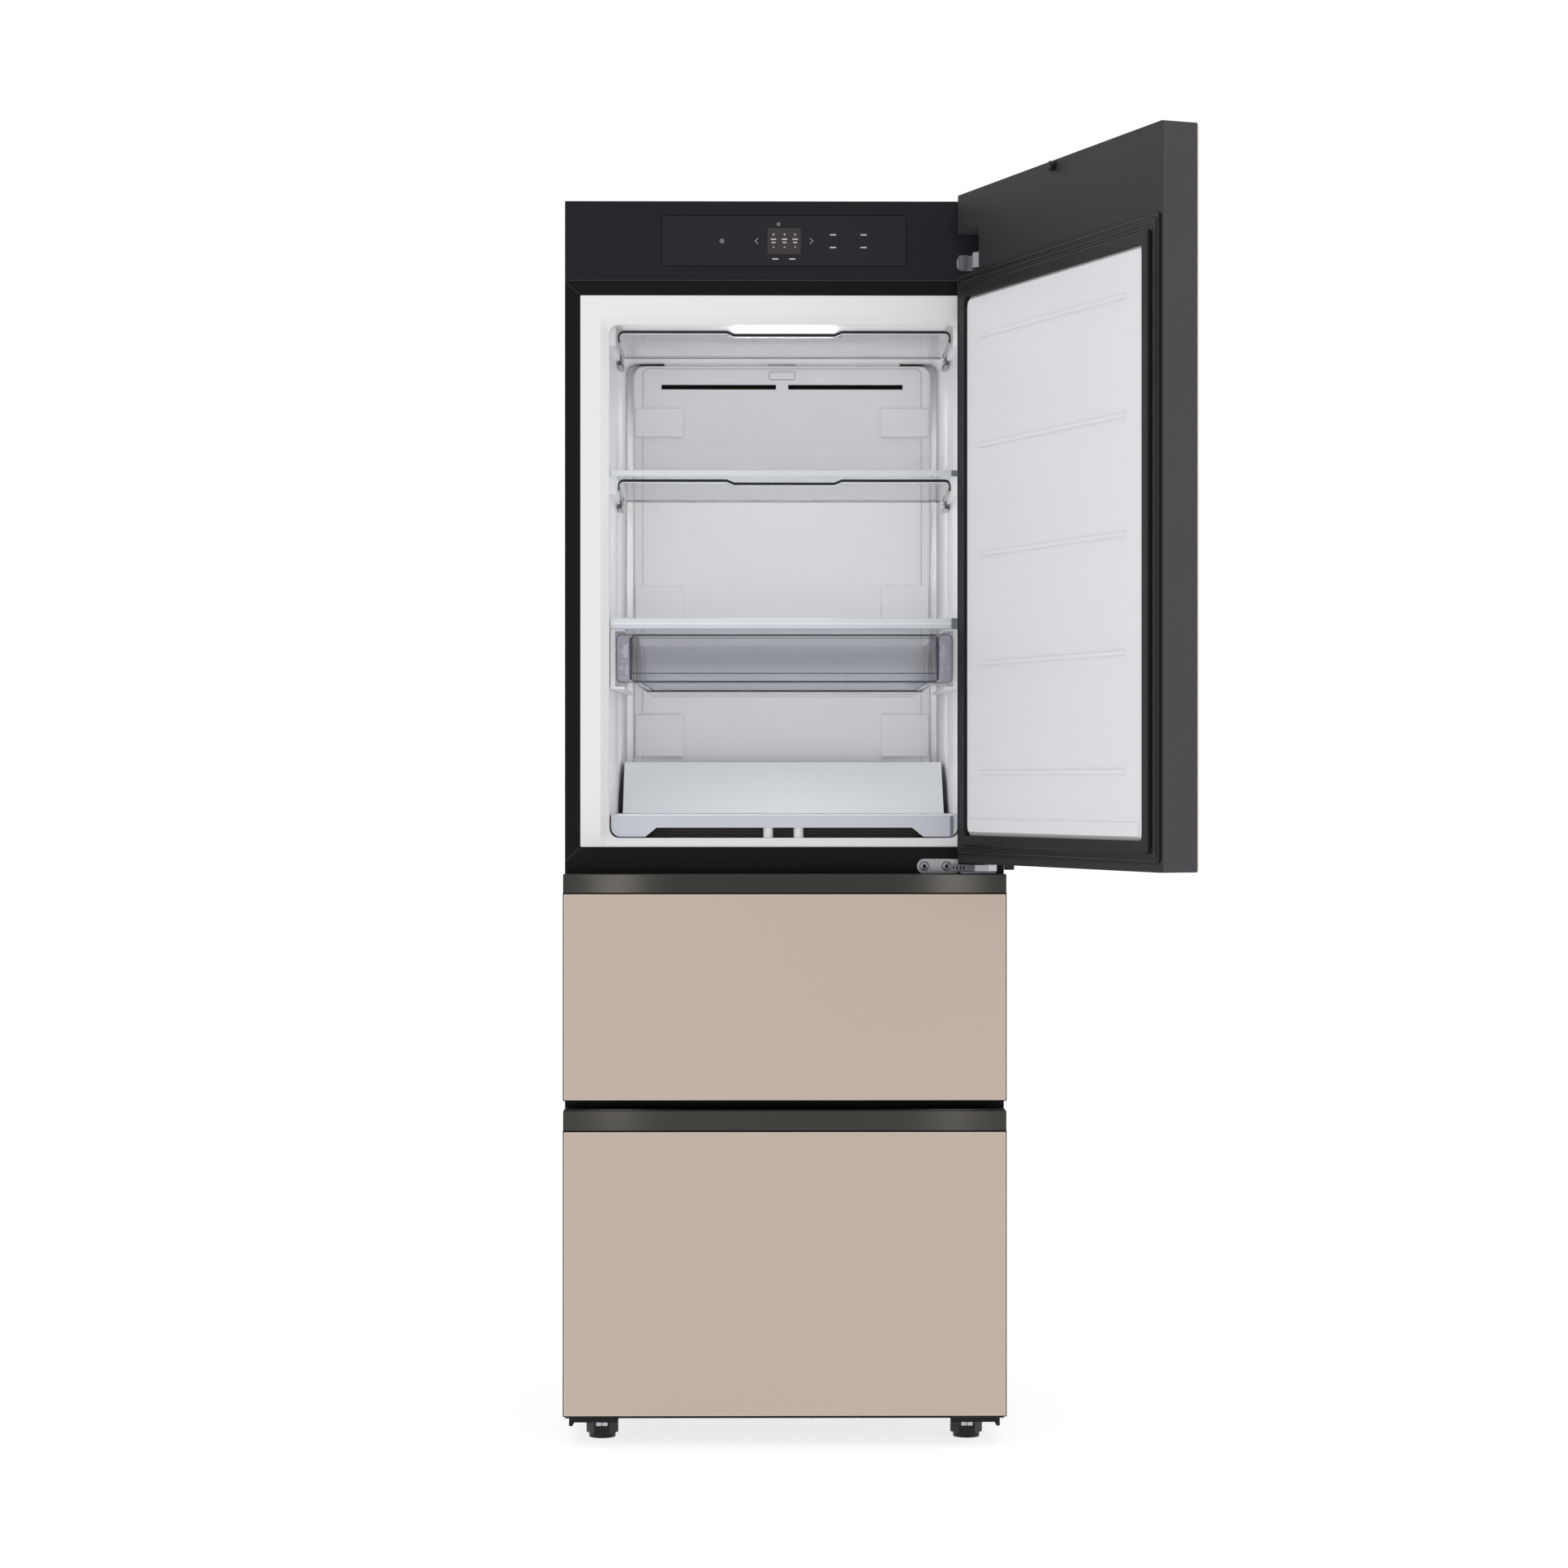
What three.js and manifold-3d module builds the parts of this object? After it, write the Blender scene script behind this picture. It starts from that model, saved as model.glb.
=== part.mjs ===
// Tall kimchi refrigerator: one hinged upper door (modelled open) over two sliding drawers.
// Millimetres, +Z up. X runs to the right of someone facing the appliance, Y runs to its back.
// Each piece is drawn with Y = 0 at the drawers' front faces and X = 0 in the middle of the
// cabinet; the finished group is then moved so that the origin lies on the floor, under the
// middle of the whole outline with its door open.
import * as THREE from 'three';
import { mergeVertices } from 'three/addons/utils/BufferGeometryUtils.js';
import Module from 'manifold-3d';

const wasm = await Module();
wasm.setup();

// ---------------------------------------------------------------- overall sizes
const WIDTH = 660; // cabinet, door and drawers share one width
const DEPTH = 695; // drawer face to the back of the rear panel's ribs
const CABINET_TOP = 1861.5;
const CABINET_BOTTOM = 31; // underside of the base pan
const CABINET_FRONT = 64; // plane of the black front frame
const FIT = 0.3; // clearance between pieces that touch
const SHEET = 1.2; // steel case, rear panel and base pan
const HALF = WIDTH / 2;

// drawer fronts from the bottom up, then the door over them
const DRAWER_LOWER = { bottom: 45.1, height: 454.7, handle: 30.1 };
const DRAWER_UPPER = { gap: 14.5, height: 337, handle: 28.3 };
const DOOR = { gap: 16.3, overTop: 2.9, thick: 54.2, skin: 2.4, edge: 1.2 };
DRAWER_LOWER.top = DRAWER_LOWER.bottom + DRAWER_LOWER.height;
DRAWER_UPPER.bottom = DRAWER_LOWER.top + DRAWER_UPPER.gap;
DRAWER_UPPER.top = DRAWER_UPPER.bottom + DRAWER_UPPER.height;
DOOR.bottom = DRAWER_UPPER.top + DOOR.gap;
DOOR.top = CABINET_TOP + DOOR.overTop;

// front frame, its three openings and the fascia over them
const FRAME_THICK = 2;
const FRAME_SIDE = 23;
const FRAME_HEAD = 22; // bar between the fascia and the upper opening
const FASCIA_HEIGHT = 119.5;
const FASCIA_HOUSING = { depth: 24, side: 10, bottom: 6, top: 8 };
const WINDOW = { left: -183.5, right: 182, height: 75, rise: 22.5, thick: 1.4 };
const FASCIA_BOTTOM = CABINET_TOP - FASCIA_HEIGHT;
const FRAME_INNER = HALF - FRAME_SIDE;
const FRAME_BACK = CABINET_FRONT + FRAME_THICK;
const DRAWER_LAP = { bottom: 18, top: 16 }; // how far a drawer front covers the frame
const UPPER_OPENING = { bottom: DOOR.bottom + 23.1, top: FASCIA_BOTTOM - FRAME_HEAD };
const MIDDLE_OPENING = {
  bottom: DRAWER_UPPER.bottom + DRAWER_LAP.bottom, top: DRAWER_UPPER.top - DRAWER_LAP.top,
};
const LOWER_OPENING = {
  bottom: DRAWER_LOWER.bottom + DRAWER_LAP.bottom, top: DRAWER_LOWER.top - DRAWER_LAP.top,
};

// upper compartment: bevelled mouth, then a tub whose side walls lean in
const WALL = 2; // liner wall
const FOAM_CORNER = 4; // the insulation is cut with tighter corners than the liners have
const MOUTH = { side: 30, head: 30, sill: 2.5, depth: 11, step: 13, floorStep: 10.8 };
MOUTH.half = FRAME_INNER - MOUTH.side;
MOUTH.bottom = UPPER_OPENING.bottom + MOUTH.sill;
MOUTH.top = UPPER_OPENING.top - MOUTH.head;
const CAVITY = {
  half: MOUTH.half - MOUTH.step, bottom: MOUTH.bottom + MOUTH.floorStep, top: MOUTH.top - MOUTH.step,
  radius: 14, back: DEPTH - 83,
};
const CAVITY_TAPER = 8; // how much nearer the middle each side wall is at the back
const CAVITY_HEIGHT = CAVITY.top - CAVITY.bottom;
const LED = { half: 81, front: 100, depth: 42, drop: 4 };

// air duct cover on the back wall
const DUCT = { front: CAVITY.back - 37, side: 11, head: 2.5, foot: 2, wall: 3, radius: 20, bevel: 3 };
DUCT.half = CAVITY.half - CAVITY_TAPER - DUCT.side;
DUCT.bottom = CAVITY.bottom + DUCT.foot;
DUCT.top = CAVITY.top - DUCT.head;
const DUCT_PANEL = { side: 16, head: 6, sunk: 0.9, radius: 9 }; // face inside the cover's raised border
const TROUGH = { depth: 9, header: 72, slope: 60 }; // hollowed middle of that face
const DUCT_PAD = { width: 80, inset: 3, proud: 6, bevel: 2 };
DUCT_PAD.spans = [[0.112, 0.185], [0.556, 0.641], [0.877, 0.985]]; // shares of the way down to the ramp
const SLOT = { height: 8, drop: 32, inner: 10, outer: 198.5 };
const SENSOR = { half: 20.3, height: 12, drop: 11.5, proud: 2.8, sunk: 2.4 };

// shelves, with the white rails and the guards under the upper two levels
const SHELF = { front: 84, back: CAVITY.back - 52, gap: 1.5, glass: 6, lip: 8.7, lipDepth: 5 };
const SHELF_SHARE = { upper: 0.2823, lower: 0.5708 }; // tops of the shelves, from the ceiling down
const SHELF_UPPER_TOP = CAVITY.top - SHELF_SHARE.upper * CAVITY_HEIGHT;
const SHELF_LOWER_TOP = CAVITY.top - SHELF_SHARE.lower * CAVITY_HEIGHT;
const TRIM = { height: 16.2, depth: 12, lip: 3, groove: 4.6 };
const TRIM_BOTTOM = SHELF_LOWER_TOP - TRIM.height;
const RAIL = { inner: CAVITY.half - 9, height: 30, front: 90, back: 386 };
const FLAP = { half: RAIL.inner - 3.5, reach: 187, thick: 2.4, rim: 5, rimDepth: 7, corner: 9 };
const FLAP_SKIRT = { front: 17, back: 10, thick: 3 }; // how far the guard's sides hang down
const FLAP_DIP = { depth: 4.8, half: 87, flat: 76, reach: 36 }; // finger dip in its front rim
const FLAP_TILT = 4.6 * Math.PI / 180; // front edge higher than the pins
const FLAP_PIN_Y = 283;
const FLAP_PIN_R = 2.5;
const FLAP_PIN_ABOVE_RAIL = 6; // pin axis above the rail's underside
const RUNNER = { inner: FLAP.half + 0.7, outer: CAVITY.half - 5.5, ear: 2.4, foot: 6.7, length: 94 };

// pull-out tray under the lower shelf, on a pair of C rails
const TRAY_RAIL = {
  inner: CAVITY.half - 22.5, depth: 90.2, front: 93, back: CAVITY.back - 132, web: 7.2, webBack: 3,
  drop: 29.6,
};
const TRAY = {
  half: CAVITY.half - 33, front: 92, back: TRAY_RAIL.back - 12, wall: 2.5, drop: 11.6, depth: 83.4,
};
const TRAY_KNEE = { rise: 15.4, inset: 22 }; // bevel under the tub's walls
const TRAY_FACE = { half: CAVITY.half - 10, thick: 4, drop: 8, height: 73.6, corner: 7 };
const TRAY_FLANGE = { half: CAVITY.half - 12, thick: 3.5 };

// bottom deck of the upper compartment and the cooling plate behind it
const DECK = { front: 88, back: 300, rise: 35.6, sheet: 3, foot: 1.7, corner: 14 };
const DECK_CUT = { rise: 15.5, halfTop: 193, halfBottom: 210 };
const DECK_POST = { xs: [-24.5, 21.5], width: 15, front: 97, depth: 12 };
const RAMP = { foot: 303, footRise: 35, head: 385, headRise: 116, thick: 3 };
DECK.half = CAVITY.half - 2.5;
DECK.top = CAVITY.bottom + DECK.rise;
DECK.bottom = CAVITY.bottom + DECK.foot;
RAMP.half = CAVITY.half - 12;
RAMP.standHalf = CAVITY.half - 20;
RAMP.footTop = CAVITY.bottom + RAMP.footRise;
RAMP.headTop = CAVITY.bottom + RAMP.headRise;

// hinged door, in its closed place
const DOOR_OPEN = 111 * Math.PI / 180;
const PIN = { x: HALF - 27, y: 17.2, r: 5 };
const POCKET = { left: HALF - 75, front: 5, height: 62, rise: 3 };
POCKET.bottom = FASCIA_BOTTOM + POCKET.rise;
POCKET.top = POCKET.bottom + POCKET.height;
const DOOR_LINER = { half: HALF - 43, proud: 6, radius: 10, bevel: 5 };
DOOR_LINER.bottom = UPPER_OPENING.bottom + 18.3;
DOOR_LINER.top = UPPER_OPENING.top - 13.5;
const DOOR_RIB = { half: HALF - 90, height: 7, proud: 3, count: 5 };
DOOR_RIB.pitch = (DOOR_LINER.top - DOOR_LINER.bottom) * 0.201;
DOOR_RIB.drop = (DOOR_LINER.top - DOOR_LINER.bottom) * 0.0794;
const DOOR_LEDGE = { rise: 3, height: 24, inset: 9, proud: 2.6 };
const BUMPER = { drop: 8.4, r: 7 };
const GASKET = { lap: 5, bulb: 26, below: 10.2, above: 23.5, flange: 2.8, lip: 5, lipRise: 0.8 };
const TOP_ARM = { left: HALF - 71, right: HALF - 39, rise: 14.5, height: 22.5, plate: 3.2, boss: 10 };
const LOW_ARM = { left: HALF - 131, right: HALF - 69, drop: 17.1, height: 22.5, plate: 3 };
const LOW_ARM_BLADE = { thick: 9.3, drop: 2.8 }; // arm that carries the pin under the door
const HINGE_SCREW = { r: 7.6, depth: 1.2, pitch: 33.5 };

// drawers
const DRAWER_BODY_EDGE = 1; // how far the dark body shows round the coloured face
const HANDLE = { front: 1, lip: 4, depth: 30, floor: 5 };
const DRAWER_MOUTH = { step: 6, edge: 12, depth: 8 };
const DRAWER_CAVITY = { half: HALF - 45, radius: 10, taper: 4, back: DEPTH - 55 };
const DRAWER_GASKET = { side: 12, lap: 10, inset: 14 };
const DRAWER_BOX = { half: DRAWER_CAVITY.half - 37, wall: 2.5, front: 66, radius: 22, draft: 8, rim: 8 };
const DRAWER_BOX_BACK = { upper: DRAWER_CAVITY.back - 74, lower: DEPTH - 309 };
const RUNNING_RAIL = {
  inner: DRAWER_CAVITY.half - 29, outer: DRAWER_CAVITY.half - 13, height: 26, sheet: 2,
};
const RAIL_LENGTH = 470;
const CHANNEL = { height: 36, sheet: 2, front: 72, lip: 3, lap: 4 };

// machine compartment and stand
const MACHINE = { front: DEPTH - 255, top: 250, step: 40 };
const REAR_RIB = { count: 6, width: 30, proud: 2.4, margin: 70 };
const LOUVRE = { rows: 9, height: 6, pitch: 18, half: HALF - 210, offset: HALF - 180, first: 62 };
const FOOT = { x: HALF - 55, y: 96, baseR: 20, baseHeight: 7, hexR: 24, hexTop: 24, stemR: 5, stemTop: 46 };
const LEG_BRACKET = { inner: 26, outer: 49, drop: 5.5, hook: 11, hookWidth: 5, front: 30, depth: 90 };
const ROLLER = { x: HALF - 60, y: DEPTH - 65, r: 20, width: 24, axleR: 4 };
const COMPRESSOR = { x: 180 - HALF, y: DEPTH - 120, r: 78, bottom: 46, height: 165 };
const CONDENSER = {
  x: HALF - 170, width: 150, front: MACHINE.front + 30, depth: 120, bottom: 40, height: 170, fins: 12,
};
const FAN = { x: CONDENSER.x - 138, y: DEPTH - 135, z: 125, r: 66, hub: 18, depth: 22, blades: 5 };

const BACK = DEPTH - REAR_RIB.proud - SHEET; // outside of the foam's back

// ---------------------------------------------------------------- shape helpers
const colours = {};
function paint(name, colour, roughness, metalness = 0, opacity = 1) {
  colours[name] = () => new THREE.MeshStandardMaterial({
    name, color: colour, roughness, metalness, opacity, transparent: opacity < 1,
  });
}
paint('black frame', 0x141415, 0.45);
paint('steel case', 0x3a3b3e, 0.4, 0.3);
paint('grey steel', 0x8d9094, 0.45, 0.7);
paint('bright steel', 0xb9bcc0, 0.28, 0.9);
paint('foam', 0xe6dfc4, 0.9);
paint('white liner', 0xe4e4e8, 0.4);
paint('white moulding', 0xd8d8dc, 0.45);
paint('dark fascia', 0x23262b, 0.3);
paint('window', 0x1b1f25, 0.08);
paint('lamp', 0xffffff, 0.3);
paint('glass', 0xcfe0dc, 0.05, 0, 0.35);
paint('smoke plastic', 0x55585c, 0.15, 0, 0.5);
paint('dark clear plastic', 0x2b2d30, 0.2, 0, 0.6);
paint('bright trim', 0xc9cdd2, 0.22, 0.85);
paint('metal look', 0x9aa1a8, 0.35, 0.6);
paint('beige metal', 0xc1aea0, 0.38, 0.2);
paint('handle brown', 0x3c3936, 0.35, 0.4);
paint('door charcoal', 0x38363a, 0.5);
paint('door white', 0xd8d7db, 0.45);
paint('rubber', 0x1c1c1f, 0.75);
paint('black plastic', 0x1a1a1c, 0.5);

function solid(geometry) {
  let g = geometry;
  for (const key of Object.keys(g.attributes)) if (key !== 'position') g.deleteAttribute(key);
  g = mergeVertices(g, 1e-5);
  return new wasm.Manifold(new wasm.Mesh({
    numProp: 3,
    vertProperties: new Float32Array(g.attributes.position.array),
    triVerts: new Uint32Array(g.index.array),
  }));
}

function join(pieces) {
  return pieces.reduce((all, piece) => all.add(piece));
}

// straight or tapering body through outlines of equal point count, set along one axis
function loft(axis, parts) {
  const asPoints = (outline) => outline.map((p) => new THREE.Vector2(...p));
  const clockwise = THREE.ShapeUtils.isClockWise(asPoints(parts[0].outline));
  const sections = parts.map(({ at, outline }) => (
    { at, outline: clockwise ? [...outline].reverse() : outline }));
  const count = sections[0].outline.length;
  const place = {
    x: (p, at) => [at, p[0], p[1]],
    y: (p, at) => [p[0], at, p[1]],
    z: (p, at) => [p[0], p[1], at],
  }[axis];
  const positions = sections.flatMap(({ at, outline }) => outline.flatMap((p) => place(p, at)));
  const index = [];
  for (let s = 0; s + 1 < sections.length; s++) {
    for (let i = 0; i < count; i++) {
      const a = s * count + i;
      const b = s * count + (i + 1) % count;
      index.push(a, b, a + count, b, b + count, a + count);
    }
  }
  const last = (sections.length - 1) * count;
  const cap = (outline) => THREE.ShapeUtils.triangulateShape(asPoints(outline), []);
  for (const [a, b, c] of cap(sections[0].outline)) index.push(c, b, a);
  for (const [a, b, c] of cap(sections.at(-1).outline)) index.push(last + a, last + b, last + c);
  // a mirrored axis order or a clockwise outline turns the faces inside out: turn them back
  const at = (i) => new THREE.Vector3(...positions.slice(3 * i, 3 * i + 3));
  let volume = 0;
  for (let i = 0; i < index.length; i += 3) {
    volume += at(index[i]).dot(at(index[i + 1]).cross(at(index[i + 2])));
  }
  if (volume < 0) index.reverse();
  const geometry = new THREE.BufferGeometry();
  geometry.setAttribute('position', new THREE.Float32BufferAttribute(positions, 3));
  geometry.setIndex(index);
  return solid(geometry);
}

function prism(axis, outline, from, to) {
  return loft(axis, [{ at: from, outline }, { at: to, outline }]);
}

function box(x0, x1, y0, y1, z0, z1) {
  const g = new THREE.BoxGeometry(x1 - x0, y1 - y0, z1 - z0);
  g.translate((x0 + x1) / 2, (y0 + y1) / 2, (z0 + z1) / 2);
  return solid(g);
}

// outline of a rectangle with round corners
function roundRect(a0, a1, b0, b1, r, steps = 4) {
  const points = [];
  const corner = (ca, cb, start) => {
    for (let i = 0; i <= steps; i++) {
      const t = start + (i / steps) * Math.PI / 2;
      points.push([ca + r * Math.cos(t), cb + r * Math.sin(t)]);
    }
  };
  corner(a1 - r, b1 - r, 0);
  corner(a0 + r, b1 - r, Math.PI / 2);
  corner(a0 + r, b0 + r, Math.PI);
  corner(a1 - r, b0 + r, 1.5 * Math.PI);
  return points;
}

// plate in the XZ plane with round corners, from y0 to y1, with its front edge bevelled by bevel
function plate(x0, x1, z0, z1, y0, y1, r, bevel = 0) {
  const flat = roundRect(x0, x1, z0, z1, r);
  if (!bevel) return prism('y', flat, y0, y1);
  const inset = roundRect(x0 + bevel, x1 - bevel, z0 + bevel, z1 - bevel, Math.max(r - bevel, 0.3));
  return loft('y', [
    { at: y0, outline: inset }, { at: y0 + bevel, outline: flat }, { at: y1, outline: flat },
  ]);
}

function disc(axis, ca, cb, r, from, to, sides = 24) {
  const outline = Array.from({ length: sides }, (_, i) => {
    const t = (i / sides) * 2 * Math.PI;
    return [ca + r * Math.cos(t), cb + r * Math.sin(t)];
  });
  return prism(axis, outline, from, to);
}

// rounded-corner tub, drawn along Y from its open front to its back, walls leaning in by taper
function tubBody(half, z0, z1, r, front, back, taper, grow = 0) {
  return loft('y', [
    { at: front, outline: roundRect(-half - grow, half + grow, z0 - grow, z1 + grow, r + grow) },
    { at: back + grow, outline: roundRect(
      -half + taper - grow, half - taper + grow, z0 - grow, z1 + grow, r + grow) },
  ]);
}

function geometryOf(manifold) {
  const { vertProperties, triVerts, numProp } = manifold.getMesh();
  const geometry = new THREE.BufferGeometry();
  const positions = [];
  for (let i = 0; i < vertProperties.length; i += numProp) {
    positions.push(vertProperties[i], vertProperties[i + 1], vertProperties[i + 2]);
  }
  geometry.setAttribute('position', new THREE.Float32BufferAttribute(positions, 3));
  geometry.setIndex(Array.from(triVerts));
  geometry.computeVertexNormals();
  return geometry;
}

function addPiece(parent, name, colour, manifold) {
  const mesh = new THREE.Mesh(geometryOf(manifold), colours[colour]());
  mesh.name = name;
  parent.add(mesh);
  return mesh;
}

function groupAt(parent, x, y, z) {
  const group = new THREE.Group();
  group.position.set(x, y, z);
  parent.add(group);
  return group;
}

const fridge = new THREE.Group();
const cabinet = groupAt(fridge, 0, 0, 0);

// ---------------------------------------------------------------- cabinet shell
const caseOutline = [
  [-HALF, CABINET_BOTTOM], [-HALF + SHEET, CABINET_BOTTOM],
  [-HALF + SHEET, CABINET_TOP - SHEET], [HALF - SHEET, CABINET_TOP - SHEET],
  [HALF - SHEET, CABINET_BOTTOM], [HALF, CABINET_BOTTOM],
  [HALF, CABINET_TOP - 2], [HALF - 2, CABINET_TOP], [-HALF + 2, CABINET_TOP], [-HALF, CABINET_TOP - 2],
];
addPiece(cabinet, 'outer_case', 'steel case', prism('y', caseOutline, FRAME_BACK + FIT, BACK));

// a liner: flange inside the frame's opening, bevelled mouth, then the tub
function linerParts(opening, mouth, cavity, taper) {
  const flange = plate(-FRAME_INNER + FIT, FRAME_INNER - FIT, opening.bottom + FIT, opening.top - FIT,
    CABINET_FRONT + FIT, FRAME_BACK + FIT, 2);
  const funnel = (grow, r = cavity.radius + grow) => loft('y', [
    { at: CABINET_FRONT, outline: roundRect(-mouth.half - grow, mouth.half + grow,
      mouth.bottom - grow, mouth.top + grow, r) },
    { at: CABINET_FRONT + mouth.depth, outline: roundRect(-cavity.half - grow,
      cavity.half + grow, cavity.bottom - grow, cavity.top + grow, r) },
  ]);
  const start = CABINET_FRONT + mouth.depth;
  const tub = (front, grow) => tubBody(cavity.half, cavity.bottom, cavity.top, cavity.radius, front,
    cavity.back, taper, grow);
  const outer = tub(start, WALL);
  const inner = tub(start - 0.01, 0);
  const lead = box(-HALF, HALF, CABINET_FRONT - 5, CABINET_FRONT + FIT, 0, CABINET_TOP);
  return {
    shell: join([flange, funnel(WALL), outer]).subtract(funnel(0)).subtract(inner).subtract(lead),
    space: join([funnel(WALL + FIT, FOAM_CORNER), tubBody(cavity.half, cavity.bottom, cavity.top,
      FOAM_CORNER - WALL - FIT, start, cavity.back, taper, WALL + FIT),
      box(-FRAME_INNER, FRAME_INNER, CABINET_FRONT, FRAME_BACK + 2 * FIT, opening.bottom, opening.top)]),
  };
}

// half the compartment's width at a depth, inside its leaning side walls
function cavityHalf(y) {
  const start = CABINET_FRONT + MOUTH.depth;
  return CAVITY.half - CAVITY_TAPER * Math.max(0, y - start) / (CAVITY.back - start);
}

const upper = linerParts(UPPER_OPENING, MOUTH, CAVITY, CAVITY_TAPER);

// white rails moulded into the liner's side walls, under the ceiling and under the upper shelf
const RAIL_TOPS = [CAVITY.top, SHELF_UPPER_TOP - SHELF.glass - FIT];
const shelfLedges = [];
for (const side of [-1, 1]) {
  for (const top of RAIL_TOPS) {
    const outline = [RAIL.inner, CAVITY.half + WALL / 2].map((x) => side * x);
    const y = [RAIL.front, RAIL.back];
    const bar = prism('z', [[outline[0], y[0] + 6], [side * (RAIL.inner + 6), y[0]],
      [outline[1], y[0]], [side * (cavityHalf(y[1]) + WALL / 2), y[1]], [outline[0], y[1]]],
    top - RAIL.height, top === CAVITY.top ? top + WALL / 2 : top);
    shelfLedges.push(bar);
  }
}
const linerSkin = tubBody(CAVITY.half, CAVITY.bottom, CAVITY.top, CAVITY.radius,
  CABINET_FRONT + MOUTH.depth, CAVITY.back, CAVITY_TAPER, WALL / 2);
// two posts on the floor carry the deck behind its cut-out
const deckPosts = DECK_POST.xs.map((x) => box(x - DECK_POST.width / 2, x + DECK_POST.width / 2,
  DECK_POST.front, DECK_POST.front + DECK_POST.depth, CAVITY.bottom - WALL / 2,
  DECK.top - DECK.sheet - FIT));
addPiece(cabinet, 'upper_liner', 'white liner',
  join([upper.shell, ...shelfLedges.map((bar) => bar.intersect(linerSkin)), ...deckPosts]));

const drawerMouth = (opening) => ({
  half: DRAWER_CAVITY.half + DRAWER_MOUTH.step, bottom: opening.bottom + DRAWER_MOUTH.edge,
  top: opening.top - DRAWER_MOUTH.edge, depth: DRAWER_MOUTH.depth,
});
const drawerCavity = (opening) => {
  const edge = DRAWER_MOUTH.edge + DRAWER_MOUTH.step;
  return { ...DRAWER_CAVITY, bottom: opening.bottom + edge, top: opening.top - edge };
};
const middle = linerParts(MIDDLE_OPENING, drawerMouth(MIDDLE_OPENING),
  drawerCavity(MIDDLE_OPENING), DRAWER_CAVITY.taper);
addPiece(cabinet, 'middle_liner', 'white liner', middle.shell);

// the lower compartment steps over the machine compartment at its back
const lowerCavity = drawerCavity(LOWER_OPENING);
const stepBox = (grow) => box(-HALF, HALF, MACHINE.front - MACHINE.step + grow, DEPTH, 0,
  MACHINE.top + MACHINE.step - grow);
const lower = linerParts(LOWER_OPENING, drawerMouth(LOWER_OPENING), lowerCavity, DRAWER_CAVITY.taper);
const lowerInside = tubBody(lowerCavity.half, lowerCavity.bottom, lowerCavity.top, lowerCavity.radius,
  CABINET_FRONT + DRAWER_MOUTH.depth, lowerCavity.back, DRAWER_CAVITY.taper);
const stepWall = lower.space.intersect(stepBox(-WALL).subtract(stepBox(0)))
  .intersect(tubBody(lowerCavity.half, lowerCavity.bottom, lowerCavity.top, lowerCavity.radius,
    CABINET_FRONT + DRAWER_MOUTH.depth, lowerCavity.back, DRAWER_CAVITY.taper, WALL / 2));
addPiece(cabinet, 'lower_liner', 'white liner',
  join([lower.shell.subtract(stepBox(0)), stepWall.intersect(join([lowerInside, lower.shell]))]));

const fasciaHousing = (grow) => box(-FRAME_INNER + FASCIA_HOUSING.side - grow,
  FRAME_INNER - FASCIA_HOUSING.side + grow, FRAME_BACK - 0.5,
  FRAME_BACK + FASCIA_HOUSING.depth + grow, FASCIA_BOTTOM + FASCIA_HOUSING.bottom - grow,
  CABINET_TOP - FASCIA_HOUSING.top + grow);
const machineSpace = box(-HALF, HALF, MACHINE.front, DEPTH, 0, MACHINE.top);
let foam = box(-HALF + SHEET + FIT, HALF - SHEET - FIT, FRAME_BACK + FIT, BACK - SHEET,
  CABINET_BOTTOM + SHEET + FIT, CABINET_TOP - SHEET - FIT);
foam = foam.subtract(machineSpace)
  .subtract(upper.space).subtract(middle.space)
  .subtract(lower.space.subtract(stepBox(FIT)))
  .subtract(fasciaHousing(FIT));
for (const side of [-1, 1]) {
  foam = foam.subtract(disc('z', side * FOOT.x, FOOT.y, FOOT.stemR + 4, 0, FOOT.stemTop + 4));
}
addPiece(cabinet, 'foam_body', 'foam', foam);

// rear sheet with pressed upright ribs
const ribPitch = (WIDTH - 2 * REAR_RIB.margin) / (REAR_RIB.count - 1);
const rearBottom = MACHINE.top + 8;
let rearPanel = box(-HALF + SHEET + FIT, HALF - SHEET - FIT, BACK - SHEET + FIT, BACK,
  rearBottom, CABINET_TOP - SHEET - FIT);
for (let i = 0; i < REAR_RIB.count; i++) {
  const x = -HALF + REAR_RIB.margin + i * ribPitch;
  const wide = roundRect(x - REAR_RIB.width / 2, x + REAR_RIB.width / 2, rearBottom + 60,
    CABINET_TOP - 70, 12);
  const narrow = roundRect(x - REAR_RIB.width / 2 + 6, x + REAR_RIB.width / 2 - 6,
    rearBottom + 66, CABINET_TOP - 76, 8);
  rearPanel = rearPanel.add(loft('y', [{ at: BACK - 0.2, outline: wide },
    { at: BACK + REAR_RIB.proud + SHEET, outline: narrow }]));
}
addPiece(cabinet, 'rear_panel', 'grey steel', rearPanel);

// louvred cover over the machine compartment
let machineCover = box(-HALF + SHEET + FIT, HALF - SHEET - FIT, BACK - SHEET + FIT, BACK,
  CABINET_BOTTOM + 6, MACHINE.top + 8 - FIT);
for (const side of [-1, 1]) {
  for (let i = 0; i < LOUVRE.rows; i++) {
    const z = LOUVRE.first + i * LOUVRE.pitch;
    machineCover = machineCover.subtract(prism('y', roundRect(side * LOUVRE.offset - LOUVRE.half,
      side * LOUVRE.offset + LOUVRE.half, z, z + LOUVRE.height, LOUVRE.height / 2 - 0.01, 2),
    BACK - 9, BACK + 9));
  }
}
addPiece(cabinet, 'machine_cover', 'grey steel', machineCover);

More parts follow.
